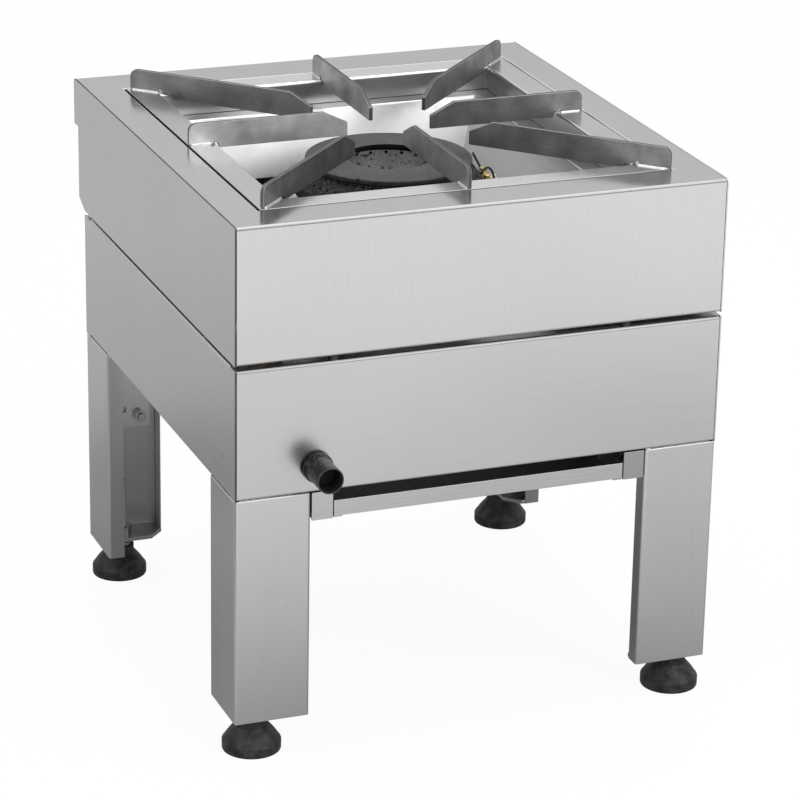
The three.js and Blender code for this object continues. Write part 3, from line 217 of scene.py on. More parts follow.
world = bpy.data.worlds.new("studio")
world.use_nodes = True
scene.world = world
room = world.node_tree
room.nodes.clear()
path = add(room, "ShaderNodeLightPath").outputs
clear_sight = maths(room, "MAXIMUM", path["Is Camera Ray"], path["Is Transmission Ray"])
ray = add(room, "ShaderNodeTexCoord").outputs["Generated"]
way = add(room, "ShaderNodeSeparateXYZ", {0: ray}).outputs
low_down = ramp(room, way["Y"], *FRONT_TO_REAR, FRONT_HORIZON, HORIZON)
climb = ramp(room, way["Z"], *HORIZON_TO_OVERHEAD, 0.0, 1.0)
steel_sight = mixed(room, climb, low_down, OVERHEAD)
strength = mixed(room, path["Is Glossy Ray"], WORLD_LIGHT, steel_sight)
strength = mixed(room, clear_sight, strength, 1.0)
sky = add(room, "ShaderNodeBackground", {"Color": (1, 1, 1, 1), "Strength": strength})
add(room, "ShaderNodeOutputWorld", {"Surface": sky.outputs[0]})
print("world light:", WORLD_LIGHT)

# %% [markdown]
# Brushed steel shows what stands round it. In a studio the floor in front of the object is bright
# further out and falls off towards the object, and the side away from the lamps is darker. The
# floor's glow for mirrored rays paints that in as painted shade: a rise with distance, less to the
# right, behind, and at the left, where a painted dark patch stands in for a black cloth. For the
# camera the floor is nearly white, and it keeps the range's soft shadow.

# %% Floor
FLOOR_SIZE = 30.0
FLOOR_WHITE = 0.90  # share of plain glow in what the camera and mirrored rays see
FLOOR_PAINT = 0.8
CAMERA_GLOW = 1.04
# Painted shade: a dark patch in the floor's glow that stands in for a black cloth.
CLOTH_SHADE_PLACE = (-1.4, -0.6, 0)
CORNER_PLACE = (-0.52, 0.5, 0)  # the shaded floor behind the range's rear left corner
# Each row is two distances or places in metres, and the glow at them.
NEAR_GLOW = (0.15, 0.9, 0.19, 0.86)  # from the middle outwards
FAR_GLOW = (1.15, 1.5, 1.0, 1.25)
REAR_GLOW = (-0.5, 0.3, 1.0, 0.58)  # from front to rear
RIGHT_GLOW = (0.0, 0.55, 1.0, 0.72)  # from the middle to the right
CLOTH_SHADE_GLOW = (0.45, 1.1, 0.12, 1.0)  # away from the cloth
CORNER_GLOW = (0.08, 0.24, 0.58, 1.0)  # away from the shaded corner
RIGHT_ENDS = (1.2, 1.5)  # the shade at the right ends between these distances
BEYOND_GLOW = 0.95  # and the glow is this beyond them

floor_finish = bpy.data.materials.new("studio_floor")
floor_finish.use_nodes = True
ground = floor_finish.node_tree
ground.nodes.clear()
path = add(ground, "ShaderNodeLightPath").outputs
spot = add(ground, "ShaderNodeTexCoord").outputs["Object"]
x, y = add(ground, "ShaderNodeSeparateXYZ", {0: spot}).outputs[:2]
reach = vector_maths(ground, "LENGTH", spot)
beyond = ramp(ground, reach, *RIGHT_ENDS, 0.0, 1.0)
glow_level = remapped(ground, reach, *NEAR_GLOW)
for factor in (
    ramp(ground, reach, *FAR_GLOW),
    ramp(ground, y, *REAR_GLOW),
    mixed(ground, beyond, ramp(ground, x, *RIGHT_GLOW), BEYOND_GLOW),
    ramp(ground, vector_maths(ground, "DISTANCE", spot, CLOTH_SHADE_PLACE), *CLOTH_SHADE_GLOW),
    ramp(ground, vector_maths(ground, "DISTANCE", spot, CORNER_PLACE), *CORNER_GLOW),
):
    glow_level = times(ground, glow_level, factor)
glow_level = mixed(ground, path["Is Camera Ray"], glow_level, CAMERA_GLOW)
paint = add(ground, "ShaderNodeBsdfDiffuse", {"Color": (FLOOR_PAINT, FLOOR_PAINT, FLOOR_PAINT, 1)})
glow = add(ground, "ShaderNodeEmission", {"Color": (1, 1, 1, 1), "Strength": glow_level})
plain_rays = maths(ground, "MAXIMUM", path["Is Camera Ray"], path["Is Glossy Ray"])
share = times(ground, plain_rays, FLOOR_WHITE)
floor_mix = add(ground, "ShaderNodeMixShader", {0: share, 1: paint.outputs[0], 2: glow.outputs[0]})
add(ground, "ShaderNodeOutputMaterial", {"Surface": floor_mix.outputs[0]})

bpy.ops.mesh.primitive_plane_add(size=FLOOR_SIZE)
floor = bpy.context.object
floor.name = "floor"
floor.data.materials.append(floor_finish)
print("floor in metres:", FLOOR_SIZE)

# %% [markdown]
# Three large soft lamps stand for the studio's softboxes: the key at the front right, a weaker one
# at the left, and one above that lights the deck and the burner. Area lamps are chosen, because a
# point or a sun would leave hard shadows that such a picture doesn't have.

# %% Lamps
LAMPS = {  # place, size and power in watts; each looks at the middle of the range
    "key": ((1.6, -3.0, 1.9), 2.8, 46),
    "fill": ((-2.6, -1.2, 1.6), 1.6, 12),
    "top": ((0.2, 0.4, 2.8), 3.0, 28),
}
LAMP_TARGET = Vector((0, 0, 0.35))

for name, (place, size, power) in LAMPS.items():
    lamp = bpy.data.lights.new(name, "AREA")
    lamp.size = size
    lamp.energy = power
    holder = linked(name, lamp)
    holder.location = place
    holder.rotation_euler = (LAMP_TARGET - Vector(place)).to_track_quat("-Z", "Y").to_euler()
print("lamps:", ", ".join(LAMPS))

# %% [markdown]
# ## Brushed stainless sheet
#
# Brushed sheet shows fine parallel grinding lines, which could be painted, modelled or made from
# noise that is stretched along one axis. Stretched noise costs least and has no seams: it varies
# the tone and, more broadly, the roughness by a few percent. Each sheet is ground along its own
# direction, which is the one that its noise hardly changes in.

# %% Brushed steel
LINE_SCALE = 610.0  # noise cells a metre, across the lines
BAND_SCALE = 200.0  # wider, fainter bands of lines
ALONG_SCALE = 16.0  # along the lines
CLOUD_SCALE = 5.0
ROUGH_CHANGE = 0.015


def line_noise(tree, across, scale, along_scale=ALONG_SCALE):
    """Noise drawn out into lines; it changes fast only along the axes in across."""
    return noise(tree, tuple(scale if axis in across else along_scale for axis in "xyz"), 1)


def brushed(name, tone, across, roughness=0.24, lines=0.07, clouds=0.02):
    """Stainless steel of a grey tone; across names the axes square to the grinding lines."""
    material, tree, shader = new_finish(name, (tone, tone, tone), 1.0, roughness)
    fine = line_noise(tree, across, LINE_SCALE)
    bands = line_noise(tree, across, BAND_SCALE, ALONG_SCALE / 2)
    line_tone = spread(tree, fine, 1 - lines / 2, 1 + lines / 2)
    band_tone = spread(tree, bands, 1 - lines / 8, 1 + lines / 8)
    cloud_tone = spread(tree, noise(tree, CLOUD_SCALE, 2), 1 - clouds, 1 + clouds)
    all_tones = times(tree, times(tree, line_tone, band_tone), cloud_tone)
    shade(tree, shader, (tone, tone, tone), all_tones)
    vary_roughness(tree, shader, bands, roughness, ROUGH_CHANGE)
    return material


STEEL = 0.68  # tone of ground stainless sheet
hood_steel = brushed("hood_steel", STEEL * 1.02, "x", 0.28, lines=0.024)
deck_steel = brushed("deck_steel", STEEL * 1.05, "x", 0.15, lines=0.03)
# Painted highlight and painted shade for bends: the first sets how bright a bend shines, the second
# darkens a bend's lower part.
painted_highlight_steel = brushed("painted_highlight_steel", 0.45, "yz", 0.24, lines=0.02)
shaded_bend = brushed("shaded_bend", 0.22, "yz", 0.30, lines=0.02)
side_steel = brushed("side_steel", STEEL, "z", 0.285, lines=0.024)
apron_steel = brushed("apron_steel", STEEL * 0.98, "z", 0.285, lines=0.024)
# Painted shade on the apron's top bend, under the hood.
painted_shade_apron_bend = brushed("painted_shade_apron_bend", 0.33, "yz", 0.30, lines=0.02)
leg_steel = brushed("leg_steel", STEEL * 1.03, "xy", 0.285, lines=0.024)
# Painted highlight on the top rounding of the legs.
bright_edge = brushed("bright_edge", 0.92, "xy", 0.30, lines=0.02)
frame_steel = brushed("frame_steel", 0.92, "xy", 0.22, lines=0.03)
# Painted shade on the frame's skirts, and painted light on the rear skirt that looks to the front.
shaded_skirt_steel = brushed("shaded_skirt_steel", 0.48, "z", 0.28, lines=0.05)
painted_light_rear_skirt = brushed("painted_light_rear_skirt", 0.60, "z", 0.32, lines=0.04)
basin_steel = brushed("basin_steel", 0.52, "z", 0.24, lines=0.01)
tray_steel = brushed("tray_steel", STEEL * 0.9, "z", 0.26)
rail_steel = brushed("rail_steel", STEEL * 0.90, "z", 0.26, lines=0.03)
# Painted shade: the right rail is darker because less light gets there.
painted_shade_right_rail = brushed("painted_shade_right_rail", STEEL * 0.69, "z", 0.26, lines=0.03)
inner_steel = brushed("inner_steel", STEEL * 0.8, "x", 0.34)
print("brushed finishes ready")

# %% [markdown]
# ## Other finishes
#
# The bars are hot-rolled plate, darker than the sheet, mottled and hardly glossy, and each bar's tone
# is painted light: lighter or darker by how light and reflections fall on it. The burner is cast iron
# with the grain of its sand mould. Knob and feet are matt black, the pilot fittings are brass. Each is
# one colour that noise varies, as finely as the real surface does.

# %% Plate, iron and plastic
# Painted light: each bar's tone stands for how light and reflections fall on it.
BAR_PAINTED_LIGHT_TONES = {"left": 0.66, "rear": 0.45, "front": 0.36, "right": 0.22, "front_left": 0.19,
             "front_right": 0.22, "rear_left": 0.23, "rear_right": 0.27}
GRAIN_DEPTH = 0.2 * MM
SAND_DEPTH = 0.5 * MM
SCALES = {  # in noise cells a metre
    "mottle": 34.0, "rolling": 1400.0, "rolling_along": 60.0, "handling": 60.0, "plate_grain": 700.0,
    "sand": 900.0, "pores": 240.0, "patches": 30.0, "crystals": 600.0,
    "cloud": 90.0, "wear": 150.0, "fine_grain": 600.0,
    "specks": 700.0, "bloom": 110.0, "moulded_grain": 1500.0,
}


def rolled_plate(name, tone, roughness):
    """Dark hot-rolled steel plate, mottled, with a faint level grain."""
    material, tree, shader = new_finish(name, (tone, tone, tone), 0.9, roughness)
    mottle = spread(tree, noise(tree, SCALES["mottle"], 5), 0.74, 1.26)
    rolled = line_noise(tree, "z", SCALES["rolling"], SCALES["rolling_along"])
    grain = spread(tree, rolled, 0.92, 1.08)
    shade(tree, shader, (tone, tone, tone * 1.01), times(tree, mottle, grain))
    vary_roughness(tree, shader, noise(tree, SCALES["handling"]), roughness, 0.08)
    bump(tree, shader, noise(tree, SCALES["plate_grain"], 4), 0.12, GRAIN_DEPTH)
    return material


def cast_iron(name, tone, roughness, speckle, metallic=0.35, sparkle=1.0):
    """Raw iron casting: sand grain in bump and tone, with darker pores and lighter crystals."""
    material, tree, shader = new_finish(
        name, (tone, tone, tone), metallic, roughness, Specular_IOR_Level=0.3)
    sand = noise(tree, SCALES["sand"], 5)
    pores = spread(tree, noise(tree, SCALES["pores"], 2), 1 - speckle, 1.0, 0.34, 0.42)
    patches = spread(tree, noise(tree, SCALES["patches"], 3), 0.85, 1.15)
    crystals = spread(tree, noise(tree, SCALES["crystals"], 2), 1.0, sparkle, 0.60, 0.70)
    sand_and_pores = times(tree, spread(tree, sand, 0.75, 1.25), pores)
    shade(tree, shader, (tone, tone, tone), times(tree, sand_and_pores, times(tree, patches, crystals)))
    bump(tree, shader, sand, 0.5, SAND_DEPTH)
    return material


def plain_finish(name, tone, metallic, roughness, grain=0.12, cloudy=0.1, **sockets):
    """A smooth small part: one colour with a slight cloud and a fine grain."""
    material, tree, shader = new_finish(name, tone, metallic, roughness, **sockets)
    cloud = spread(tree, noise(tree, SCALES["cloud"], 2), 1 - cloudy, 1 + cloudy)
    shade(tree, shader, tone, cloud)
    vary_roughness(tree, shader, noise(tree, SCALES["wear"]), roughness, 0.06)
    bump(tree, shader, noise(tree, SCALES["fine_grain"], 3), grain, GRAIN_DEPTH)
    return material


def speckled_plastic(name, tone, roughness, dust):
    """Matt black moulded plastic with a fine grain and a few light specks of dust."""
    material, tree, shader = new_finish(
        name, (tone, tone, tone), 0.0, roughness, Specular_IOR_Level=0.20)
    specks = spread(tree, noise(tree, SCALES["specks"], 2), 1.0, dust, 0.58, 0.66)
    bloom = spread(tree, noise(tree, SCALES["bloom"], 3), 0.5, 1.8)
    shade(tree, shader, (tone, tone, tone * 1.03), times(tree, specks, bloom))
    bump(tree, shader, noise(tree, SCALES["moulded_grain"], 4), 0.35, GRAIN_DEPTH)
    return material


print("tones of the bars:", BAR_PAINTED_LIGHT_TONES)

# %% Finishes of the smaller pieces
# Dark cut faces of the bars, and painted shade on the housing's left joints, the apron's lower bend and
# the edge of the deck's opening.
cut_edge_and_painted_shade = rolled_plate("cut_edge_and_painted_shade", 0.12, 0.5)
rolled_plate_steel = rolled_plate("rolled_plate_steel", 0.26, 0.35)
# One finish a bar, each with its painted light tone.
bar_painted_light_finishes = {bar: rolled_plate(f"bar_plate_{bar}", tone, 0.48) for bar, tone in BAR_PAINTED_LIGHT_TONES.items()}
# Partly wear, partly painted highlight: the finish of the bars' rounded edges.
worn_and_highlight_edge = plain_finish("worn_and_highlight_edge", (0.34, 0.34, 0.34), 1.0, 0.35)
weld_steel = plain_finish("weld_steel", (0.72, 0.72, 0.72), 1.0, 0.28)
cap_iron = cast_iron("cap_iron", 0.10, 0.62, 0.35)
body_iron = cast_iron("body_iron", 0.035, 0.7, 0.7, sparkle=6.0)
bowl_iron = cast_iron("bowl_iron", 0.50, 0.42, 0.8, metallic=0.9, sparkle=1.6)
# Painted shade: a near-black finish for the strip in the shadow gap, the side of the burner cap and the
# inside of the tray.
painted_shade_steel = plain_finish("painted_shade_steel", (0.05, 0.05, 0.05), 0.7, 0.55)
# Painted shade: black for the top of the burner's inner wall and the cap's bore.
painted_shade_black = plain_finish("painted_shade_black", (0.008, 0.008, 0.008), 0.0, 0.8, Specular_IOR_Level=0.1)
# Painted light: a pale, less mirror-like finish for the basin's faces that look to the front.
painted_light_wall = plain_finish("painted_light_wall", (0.96, 0.96, 0.96), 0.6, 0.36, grain=0.0, cloudy=0.01)
black_plastic = speckled_plastic("black_plastic", 0.005, 0.30, 18.0)
black_foot = speckled_plastic("black_foot", 0.032, 0.38, 1.6)
rubbed_plastic = plain_finish("rubbed_plastic", (0.045, 0.045, 0.045), 0.0, 0.4)
bore_plastic = plain_finish("bore_plastic", (0.010, 0.010, 0.010), 0.0, 0.7)
zinc_plate = plain_finish("zinc_plate", (0.55, 0.56, 0.57), 1.0, 0.38)
brass = plain_finish("brass", (0.95, 0.74, 0.36), 1.0, 0.3)
copper = plain_finish("copper", (0.72, 0.42, 0.28), 1.0, 0.35)
heated_copper = plain_finish("heated_copper", (0.11, 0.075, 0.06), 0.9, 0.4)
dark_wire = plain_finish("dark_wire", (0.012, 0.012, 0.013), 0.0, 0.5)
ceramic = plain_finish("ceramic", (0.85, 0.84, 0.80), 0.0, 0.3)
print("finishes:", len(bpy.data.materials))

# %% [markdown]
# ## From the CAD solid to a finished piece
#
# CAD sheets have knife-sharp edges. Real ones are broken a little by the shear and the grinding belt,
# and that thin rounded edge is what catches the light. The solid could be modelled again, but it has
# the right shape already, so a merged copy gets a narrow bevel and weighted normals.

# %% Making and showing a piece
EDGE_ANGLE = radians(40)
EDGE_WIDTH = 0.3 * MM  # of a broken edge
MERGE_REACH = 0.01 * MM
FLAT_ANGLE = radians(0.5)


def show(obj, finish, *nodes):
    """Gives a finished piece its material and its body, and hides the nodes it replaces."""
    obj.data.materials.clear()
    obj.data.materials.append(finish)
    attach(obj, BODY_OF[nodes[0]])
    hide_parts(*nodes)


def object_from(solid, name):
    """A scene object with the mesh of a bmesh, which is freed."""
    mesh = bpy.data.meshes.new(name)
    solid.to_mesh(mesh)
    solid.free()
    return linked(name, mesh)


def evaluated_mesh(obj):
    """The plain mesh that an object's modifiers or its curve come to."""
    graph = bpy.context.evaluated_depsgraph_get()
    graph.update()
    return bpy.data.meshes.new_from_object(obj.evaluated_get(graph))


def soften(obj, width, segments=2, edge_finish=None):
    """Rounds the sharp edges, with a finish of their own if one is given, and shades all smooth."""
    obj.data.shade_smooth()
    edges = obj.modifiers.new("edges", "BEVEL")
    edges.width = width
    edges.segments = segments
    edges.limit_method = "ANGLE"
    edges.angle_limit = EDGE_ANGLE
    edges.harden_normals = True
    edges.use_clamp_overlap = False
    if edge_finish:
        obj.data.materials.append(edge_finish)
        edges.material = len(obj.data.materials) - 1
    normals = obj.modifiers.new("normals", "WEIGHTED_NORMAL")
    normals.keep_sharp = True


def second_finish(obj, finish, chosen):
    """Gives the faces that chosen() picks by centre and normal another finish."""
    obj.data.materials.append(finish)
    for face in obj.data.polygons:
        if chosen(face.center, face.normal):
            face.material_index = len(obj.data.materials) - 1


def merged_copy(node):
    """The CAD node's mesh with its triangles joined into whole faces."""
    solid = bmesh.new()
    solid.from_mesh(frame["nodes"][node].data)
    bmesh.ops.remove_doubles(solid, verts=solid.verts, dist=MERGE_REACH)
    bmesh.ops.dissolve_limit(solid, angle_limit=FLAT_ANGLE, verts=solid.verts, edges=solid.edges)
    return solid


print("edges sharper than", round(EDGE_ANGLE * 180 / pi), "degrees are rounded")

# %% Rounding the housing's corners
EDGE_REACH = 0.05 * MM
TIP_RADIUS = 4 * MM  # the side sheets' rear top corner
TIP_THICKNESS = 2 * MM  # an edge across a sheet is shorter than this
HOUSING_HALF = max(abs(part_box("hood_left_side")[0].x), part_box("hood_right_side")[1].x)
HOUSING_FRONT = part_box("apron_front")[0].y
HOUSING_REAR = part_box("apron_rear")[1].y
HOOD_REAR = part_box("hood_left_side")[1].y


def round_outer_edges(solid, upright, level):
    """Rounds the housing's outer corners: upright ones and level ones by their own radius."""
    heights = [vert.co.z for vert in solid.verts]
    foot, top = min(heights), max(heights)

    def planes(vert):
        """The outer planes that a point lies on."""
        x, y, z = vert.co
        distances = {
            "x": abs(abs(x) - HOUSING_HALF),
            "y": min(abs(y - HOUSING_FRONT), abs(y - HOUSING_REAR)),
            "z": min(abs(z - foot), abs(z - top)),
        }
        return {axis for axis, distance in distances.items() if distance < EDGE_REACH}

    def at_rear_tip(edge):
        first, second = (vert.co for vert in edge.verts)
        behind = min(first.y, second.y) > HOOD_REAR - EDGE_REACH
        on_top = min(first.z, second.z) > top - EDGE_REACH
        return behind and on_top and abs(first.x - second.x) < TIP_THICKNESS

    rear_tip = [edge for edge in solid.edges if at_rear_tip(edge)]
    bmesh.ops.bevel(solid, geom=rear_tip, offset=TIP_RADIUS, segments=5, profile=0.5, affect="EDGES")
    rules = (  # by the planes that an edge's ends share, and how steeply it rises
        (upright, lambda shared, rise: {"x", "y"} <= shared and rise > 0.9),
        (level, lambda shared, rise: "z" in shared and len(shared) > 1 and rise < 0.1),
    )
    for radius, fits in rules:
        if not radius:
            continue
        chosen = []
        for edge in solid.edges:
            first, second = edge.verts
            rise = abs((second.co - first.co).normalized().z)
            if fits(planes(first) & planes(second), rise):
                chosen.append(edge)
        done = bmesh.ops.bevel(solid, geom=chosen, offset=radius, segments=4, profile=0.5,
                               affect="EDGES", clamp_overlap=False)
        print("  rounded", len(chosen), "edges into", len(done["faces"]), "faces")


def dressed(node, finish, width=EDGE_WIDTH, upright=0, level=0, edge_finish=None):
    """A copy of a CAD node with softened edges and a finish."""
    solid = merged_copy(node)
    if upright or level:
        round_outer_edges(solid, upright, level)
    obj = object_from(solid, f"{node}_finished")
    show(obj, finish, node)
    soften(obj, width, edge_finish=edge_finish)
    return obj


print("housing's half width in mm:", round(HOUSING_HALF / MM, 1))

# %% [markdown]
# ## Housing
#
# Upper and lower housing are bent sheets with welded or butted corners. The front and deck are one
# sheet, ground from top to bottom and, over the bend, from front to rear. Painted shade darkens the
# joints and cut edges at the left, the edge of the deck's opening, the apron's bends and the strip in
# the shadow gap; the deck's front bend has a painted highlight over a painted dark line. These could
# be strips of their own, but a second material on the same faces keeps each sheet one piece.

# %% Housing sheets
CORNER_ROUND = 1.3 * MM
SIDE_ROUND = 0.4 * MM
SKIN = 1.6 * MM
DECK_SKIN = 2 * MM
NECK = 11.9 * MM  # height of the set-back strip that the shadow gap hides
OPENING_REACH = 240 * MM  # the deck's opening ends within this
FRONT_BAND = 5 * MM  # and this far behind the front
apron_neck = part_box("apron_front")[1].z - NECK
deck_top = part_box("hood_deck_and_front")[1].z


# Painted shade: a dark line along the left sheets' ends and top edge.
def left_cut(centre, normal):
    """The ends and the top edge of a left sheet."""
    sheared = abs(normal.y) > 0.4 or (normal.z > 0.4 and centre.z > deck_top - SKIN)
    return abs(centre.x) > HOUSING_HALF - SKIN and sheared


# Painted shade at the left end of the rear sheets.
def rear_cut(centre, normal):
    """The left end of a rear sheet."""
    return normal.x < -0.3 and centre.x < -HOUSING_HALF + 2 * SKIN


# Painted shade on the edge of the deck's opening, beside the frame.
def opening_cut(centre, normal):
    """The edge of the deck's opening."""
    inside = abs(centre.x) < OPENING_REACH and centre.y > HOUSING_FRONT + FRONT_BAND
    return inside and abs(normal.z) < 0.3 and centre.z > deck_top - DECK_SKIN


def front_bend(low, high):
    """Picks the faces of a bend at the front, by how far they look up."""
    return lambda centre, normal: low < normal.z < high and normal.y < 0


for node, finish in {
    "hood_deck_and_front": hood_steel,
    "hood_left_side": side_steel,
    "hood_right_side": side_steel,
    "hood_rear": side_steel,
    "apron_front": apron_steel,
    "apron_rear": apron_steel,
    "apron_left": side_steel,
    "apron_right": side_steel,
}.items():
    upright = SIDE_ROUND if "left" in node or "right" in node else CORNER_ROUND
    level = 0 if "hood_deck" in node else upright
    sheet = dressed(node, finish, upright=upright, level=level)
    if "left" in node:
        second_finish(sheet, cut_edge_and_painted_shade, left_cut)
    if "rear" in node:
        second_finish(sheet, cut_edge_and_painted_shade, rear_cut)
    if "apron" in node:
        # Painted shade on the strip that the shadow gap hides.
        second_finish(sheet, painted_shade_steel, lambda centre, normal: centre.z > apron_neck)
    if node == "apron_front":
        # Painted shade on the apron's top bend.
        second_finish(sheet, painted_shade_apron_bend, front_bend(0.1, 0.99))
        # Painted shade on the apron's lower bend, above the legs.
        second_finish(sheet, cut_edge_and_painted_shade, front_bend(-0.99, -0.5))
    if node == "hood_deck_and_front":
        second_finish(sheet, deck_steel, lambda centre, normal: normal.z > 0.99)
        second_finish(sheet, cut_edge_and_painted_shade, opening_cut)
        # Painted highlight on the upper part of the front bend, painted shade on its lower part.
        second_finish(sheet, painted_highlight_steel, front_bend(0.5, 0.99))
        second_finish(sheet, shaded_bend, front_bend(0.1, 0.5))
print("housing sheets dressed")

# %% [markdown]
# ## Pan support
#
# The support is a frame of bent sheet with eight bars of plate standing on it. Each bar has a small
# relief hole where its inner end meets the band. Its edges are dark from the cut, and its rounded
# corners are lighter, partly worn and partly a painted highlight. The frame's side bands, which see
# less of the light, carry painted shade up to the mitres. Holes could be bump, but a real hole is cut
# out of the mesh, so that it holds in any view.

# %% Frame
SIDE_SHADE = 0.76
MITRE_WIDTH = 2 * MM  # half the width of the change at a mitre
RIGHT_BEND = 4 * MM
frame_low, frame_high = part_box("pan_support_frame")
support_centre = (frame_low + frame_high) / 2


def darken_sides(finish, centre, factor):
    """Paints shade on a square frame's left and right bands up to the mitres."""
    tree = finish.node_tree
    colour = tree.nodes["Principled BSDF"].inputs["Base Color"]
    place = add(tree, "ShaderNodeTexCoord").outputs["Object"]
    away = vector_maths(tree, "ABSOLUTE", vector_maths(tree, "SUBTRACT", place, centre))
    x, y = add(tree, "ShaderNodeSeparateXYZ", {0: away}).outputs[:2]
    side = ramp(tree, maths(tree, "SUBTRACT", x, y), -MITRE_WIDTH, MITRE_WIDTH, 1.0, factor)
    tree.links.new(scaled(tree, colour.links[0].from_socket, side), colour)


# Painted shade on the frame's side bands.
darken_sides(frame_steel, support_centre, SIDE_SHADE)
# The frame's rounded edges take the painted highlight tone.
support = dressed("pan_support_frame", frame_steel, 0.35 * MM, edge_finish=painted_highlight_steel)
# Painted shade on the frame's skirts.
second_finish(support, shaded_skirt_steel,
              lambda centre, normal: abs(normal.z) < 0.2 and centre.x > frame_low.x + MM)
# Painted shade on the frame's right edge.
second_finish(support, shaded_bend,
              lambda centre, normal: normal.x > 0.2 and centre.x > frame_high.x - RIGHT_BEND)
# Painted light on the rear skirt's face, which looks to the front.
second_finish(support, painted_light_rear_skirt,
              lambda centre, normal: normal.y < -0.9 and centre.y > support_centre.y)
print("frame in mm:", [round(v) for v in (frame_high - frame_low) / MM])

# %% Bars
BARS = ("left", "right", "front", "rear", *CORNERS)

PLATE = 4 * MM  # thickness of a bar
BAND = 27 * MM  # width of the frame's band under a bar
DIAGONAL = 1.41  # a corner bar crosses the band at 45 degrees
CORNER_REACH = -1 * MM  # and its weld stops short of the frame's inner corner
CORNER_SHIFT = 0.354  # of the plate, along each side, to the middle of its outer end
RELIEF_RADIUS = 2.3 * MM
RELIEF_BACK = 2.8 * MM  # the hole's middle, before the end of the weld line
RELIEF_RISE = 1.0 * MM
support_top = frame_high.z


def bar_line(bar):
    """Where a bar's foot starts, the way inwards, the way across and how far it lies on the band."""
    low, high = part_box(f"support_bar_{bar}")
    side = Vector((("right" in bar) - ("left" in bar), ("rear" in bar) - ("front" in bar), 0))
    middle = (low + high) / 2
    outer = Vector((high.x if side.x > 0 else low.x, high.y if side.y > 0 else low.y, support_top))
    if side.x == 0:
        outer.x = middle.x
    if side.y == 0:
        outer.y = middle.y
    reach = BAND
    if side.x and side.y:
        reach = BAND * DIAGONAL + CORNER_REACH
        outer += Vector((-side.x, -side.y, 0)) * PLATE * CORNER_SHIFT
    inward = -side.normalized()
    return outer, inward, Vector((-inward.y, inward.x, 0)), reach


def cut_out(obj, cutter):
    """Takes the cutter out of the object's mesh, and removes the cutter."""
    cut = obj.modifiers.new("cut", "BOOLEAN")
    cut.object = cutter
    cut.solver = "MANIFOLD"
    mesh = evaluated_mesh(obj)
    obj.modifiers.clear()
    obj.data = mesh
    bpy.data.objects.remove(cutter)


def plate_bar(bar):
    """A bar with its relief hole drilled, its cut edges dark and its rounded corners lighter, partly
    worn and partly a painted highlight.
    """
    outer, inward, across, reach = bar_line(bar)
    obj = object_from(merged_copy(f"support_bar_{bar}"), f"support_bar_{bar}_finished")
    hole = outer + inward * (reach - RELIEF_BACK) + Vector((0, 0, RELIEF_RISE))
    place = Matrix.Translation(hole) @ across.to_track_quat("Z", "Y").to_matrix().to_4x4()
    drill = bmesh.new()
    bmesh.ops.create_cone(drill, cap_ends=True, segments=20, radius1=RELIEF_RADIUS,
                          radius2=RELIEF_RADIUS, depth=4 * PLATE, matrix=place)
    cut_out(obj, object_from(drill, "relief_drill"))
    # Each bar takes its own painted light tone.
    show(obj, bar_painted_light_finishes[bar], f"support_bar_{bar}")
    second_finish(obj, cut_edge_and_painted_shade, lambda centre, normal: abs(normal.dot(across)) <= 0.9)
    # The rounded edges are partly worn, partly a painted highlight.
    soften(obj, 0.4 * MM, edge_finish=worn_and_highlight_edge)


for bar in BARS:
    plate_bar(bar)
print("bars:", len(BARS))

# %% [markdown]
# ## Weld lines
#
# A fillet weld is a smooth rod of metal in the corner between bar and band, a little uneven in
# thickness and round at its ends. It could be modelled sixteen times, but Geometry Nodes follow a
# line with a round profile whose radius is given by noise, so one tree makes them all.

# %% Helpers for Geometry Nodes
def geometry_tree(name, inputs):
    """A tree with a geometry as its output, and its named inputs: each a kind and a default."""
    tree = bpy.data.node_groups.new(name, "GeometryNodeTree")
    tree.interface.new_socket("Geometry", in_out="OUTPUT", socket_type="NodeSocketGeometry")
    for label, (kind, default) in inputs.items():
        socket = tree.interface.new_socket(label, in_out="INPUT", socket_type=f"NodeSocket{kind}")
        if default is not None:
            socket.default_value = default
    return tree, add(tree, "NodeGroupInput").outputs


def end_tree(tree, geometry, finish):
    """Ends a tree in its finish and its output."""
    done = add(tree, "GeometryNodeSetMaterial", {"Geometry": geometry, "Material": finish})
    add(tree, "NodeGroupOutput", {0: done.outputs[0]})
    return tree


def socket_id(tree, name):
    inputs = (item for item in tree.interface.items_tree if item.in_out == "INPUT")
    return next(item.identifier for item in inputs if item.name == name)


def grown(name, tree, base=None, **values):
    """Runs a tree on a mesh (or on nothing) and returns the plain mesh object that comes out."""
    host = base or linked(name, bpy.data.meshes.new(name))
    modifier = host.modifiers.new("tree", "NODES")
    modifier.node_group = tree
    for key, value in values.items():
        modifier[socket_id(tree, key.replace("_", " "))] = value
    mesh = evaluated_mesh(host)
    bpy.data.objects.remove(host)
    return linked(name, mesh)


def joined(objects, name):
    """One object from several, all of whose places are in their meshes."""
    bpy.ops.object.select_all(action="DESELECT")
    for obj in objects:
        obj.select_set(True)
    bpy.context.view_layer.objects.active = objects[0]
    bpy.ops.object.join()
    objects[0].name = name
    return objects[0]


print("geometry helpers ready")

# %% Weld bead tree
BEAD_RADIUS = 1.15 * MM
BEAD_STEPS = 60
RIPPLE_SCALE = 260.0
RIPPLE = (0.82, 1.12)  # the radius varies between these shares of itself
END_ROUND = (0.46, 0.5, 1.0, 0.25)  # distances from the middle, and the share of the radius there


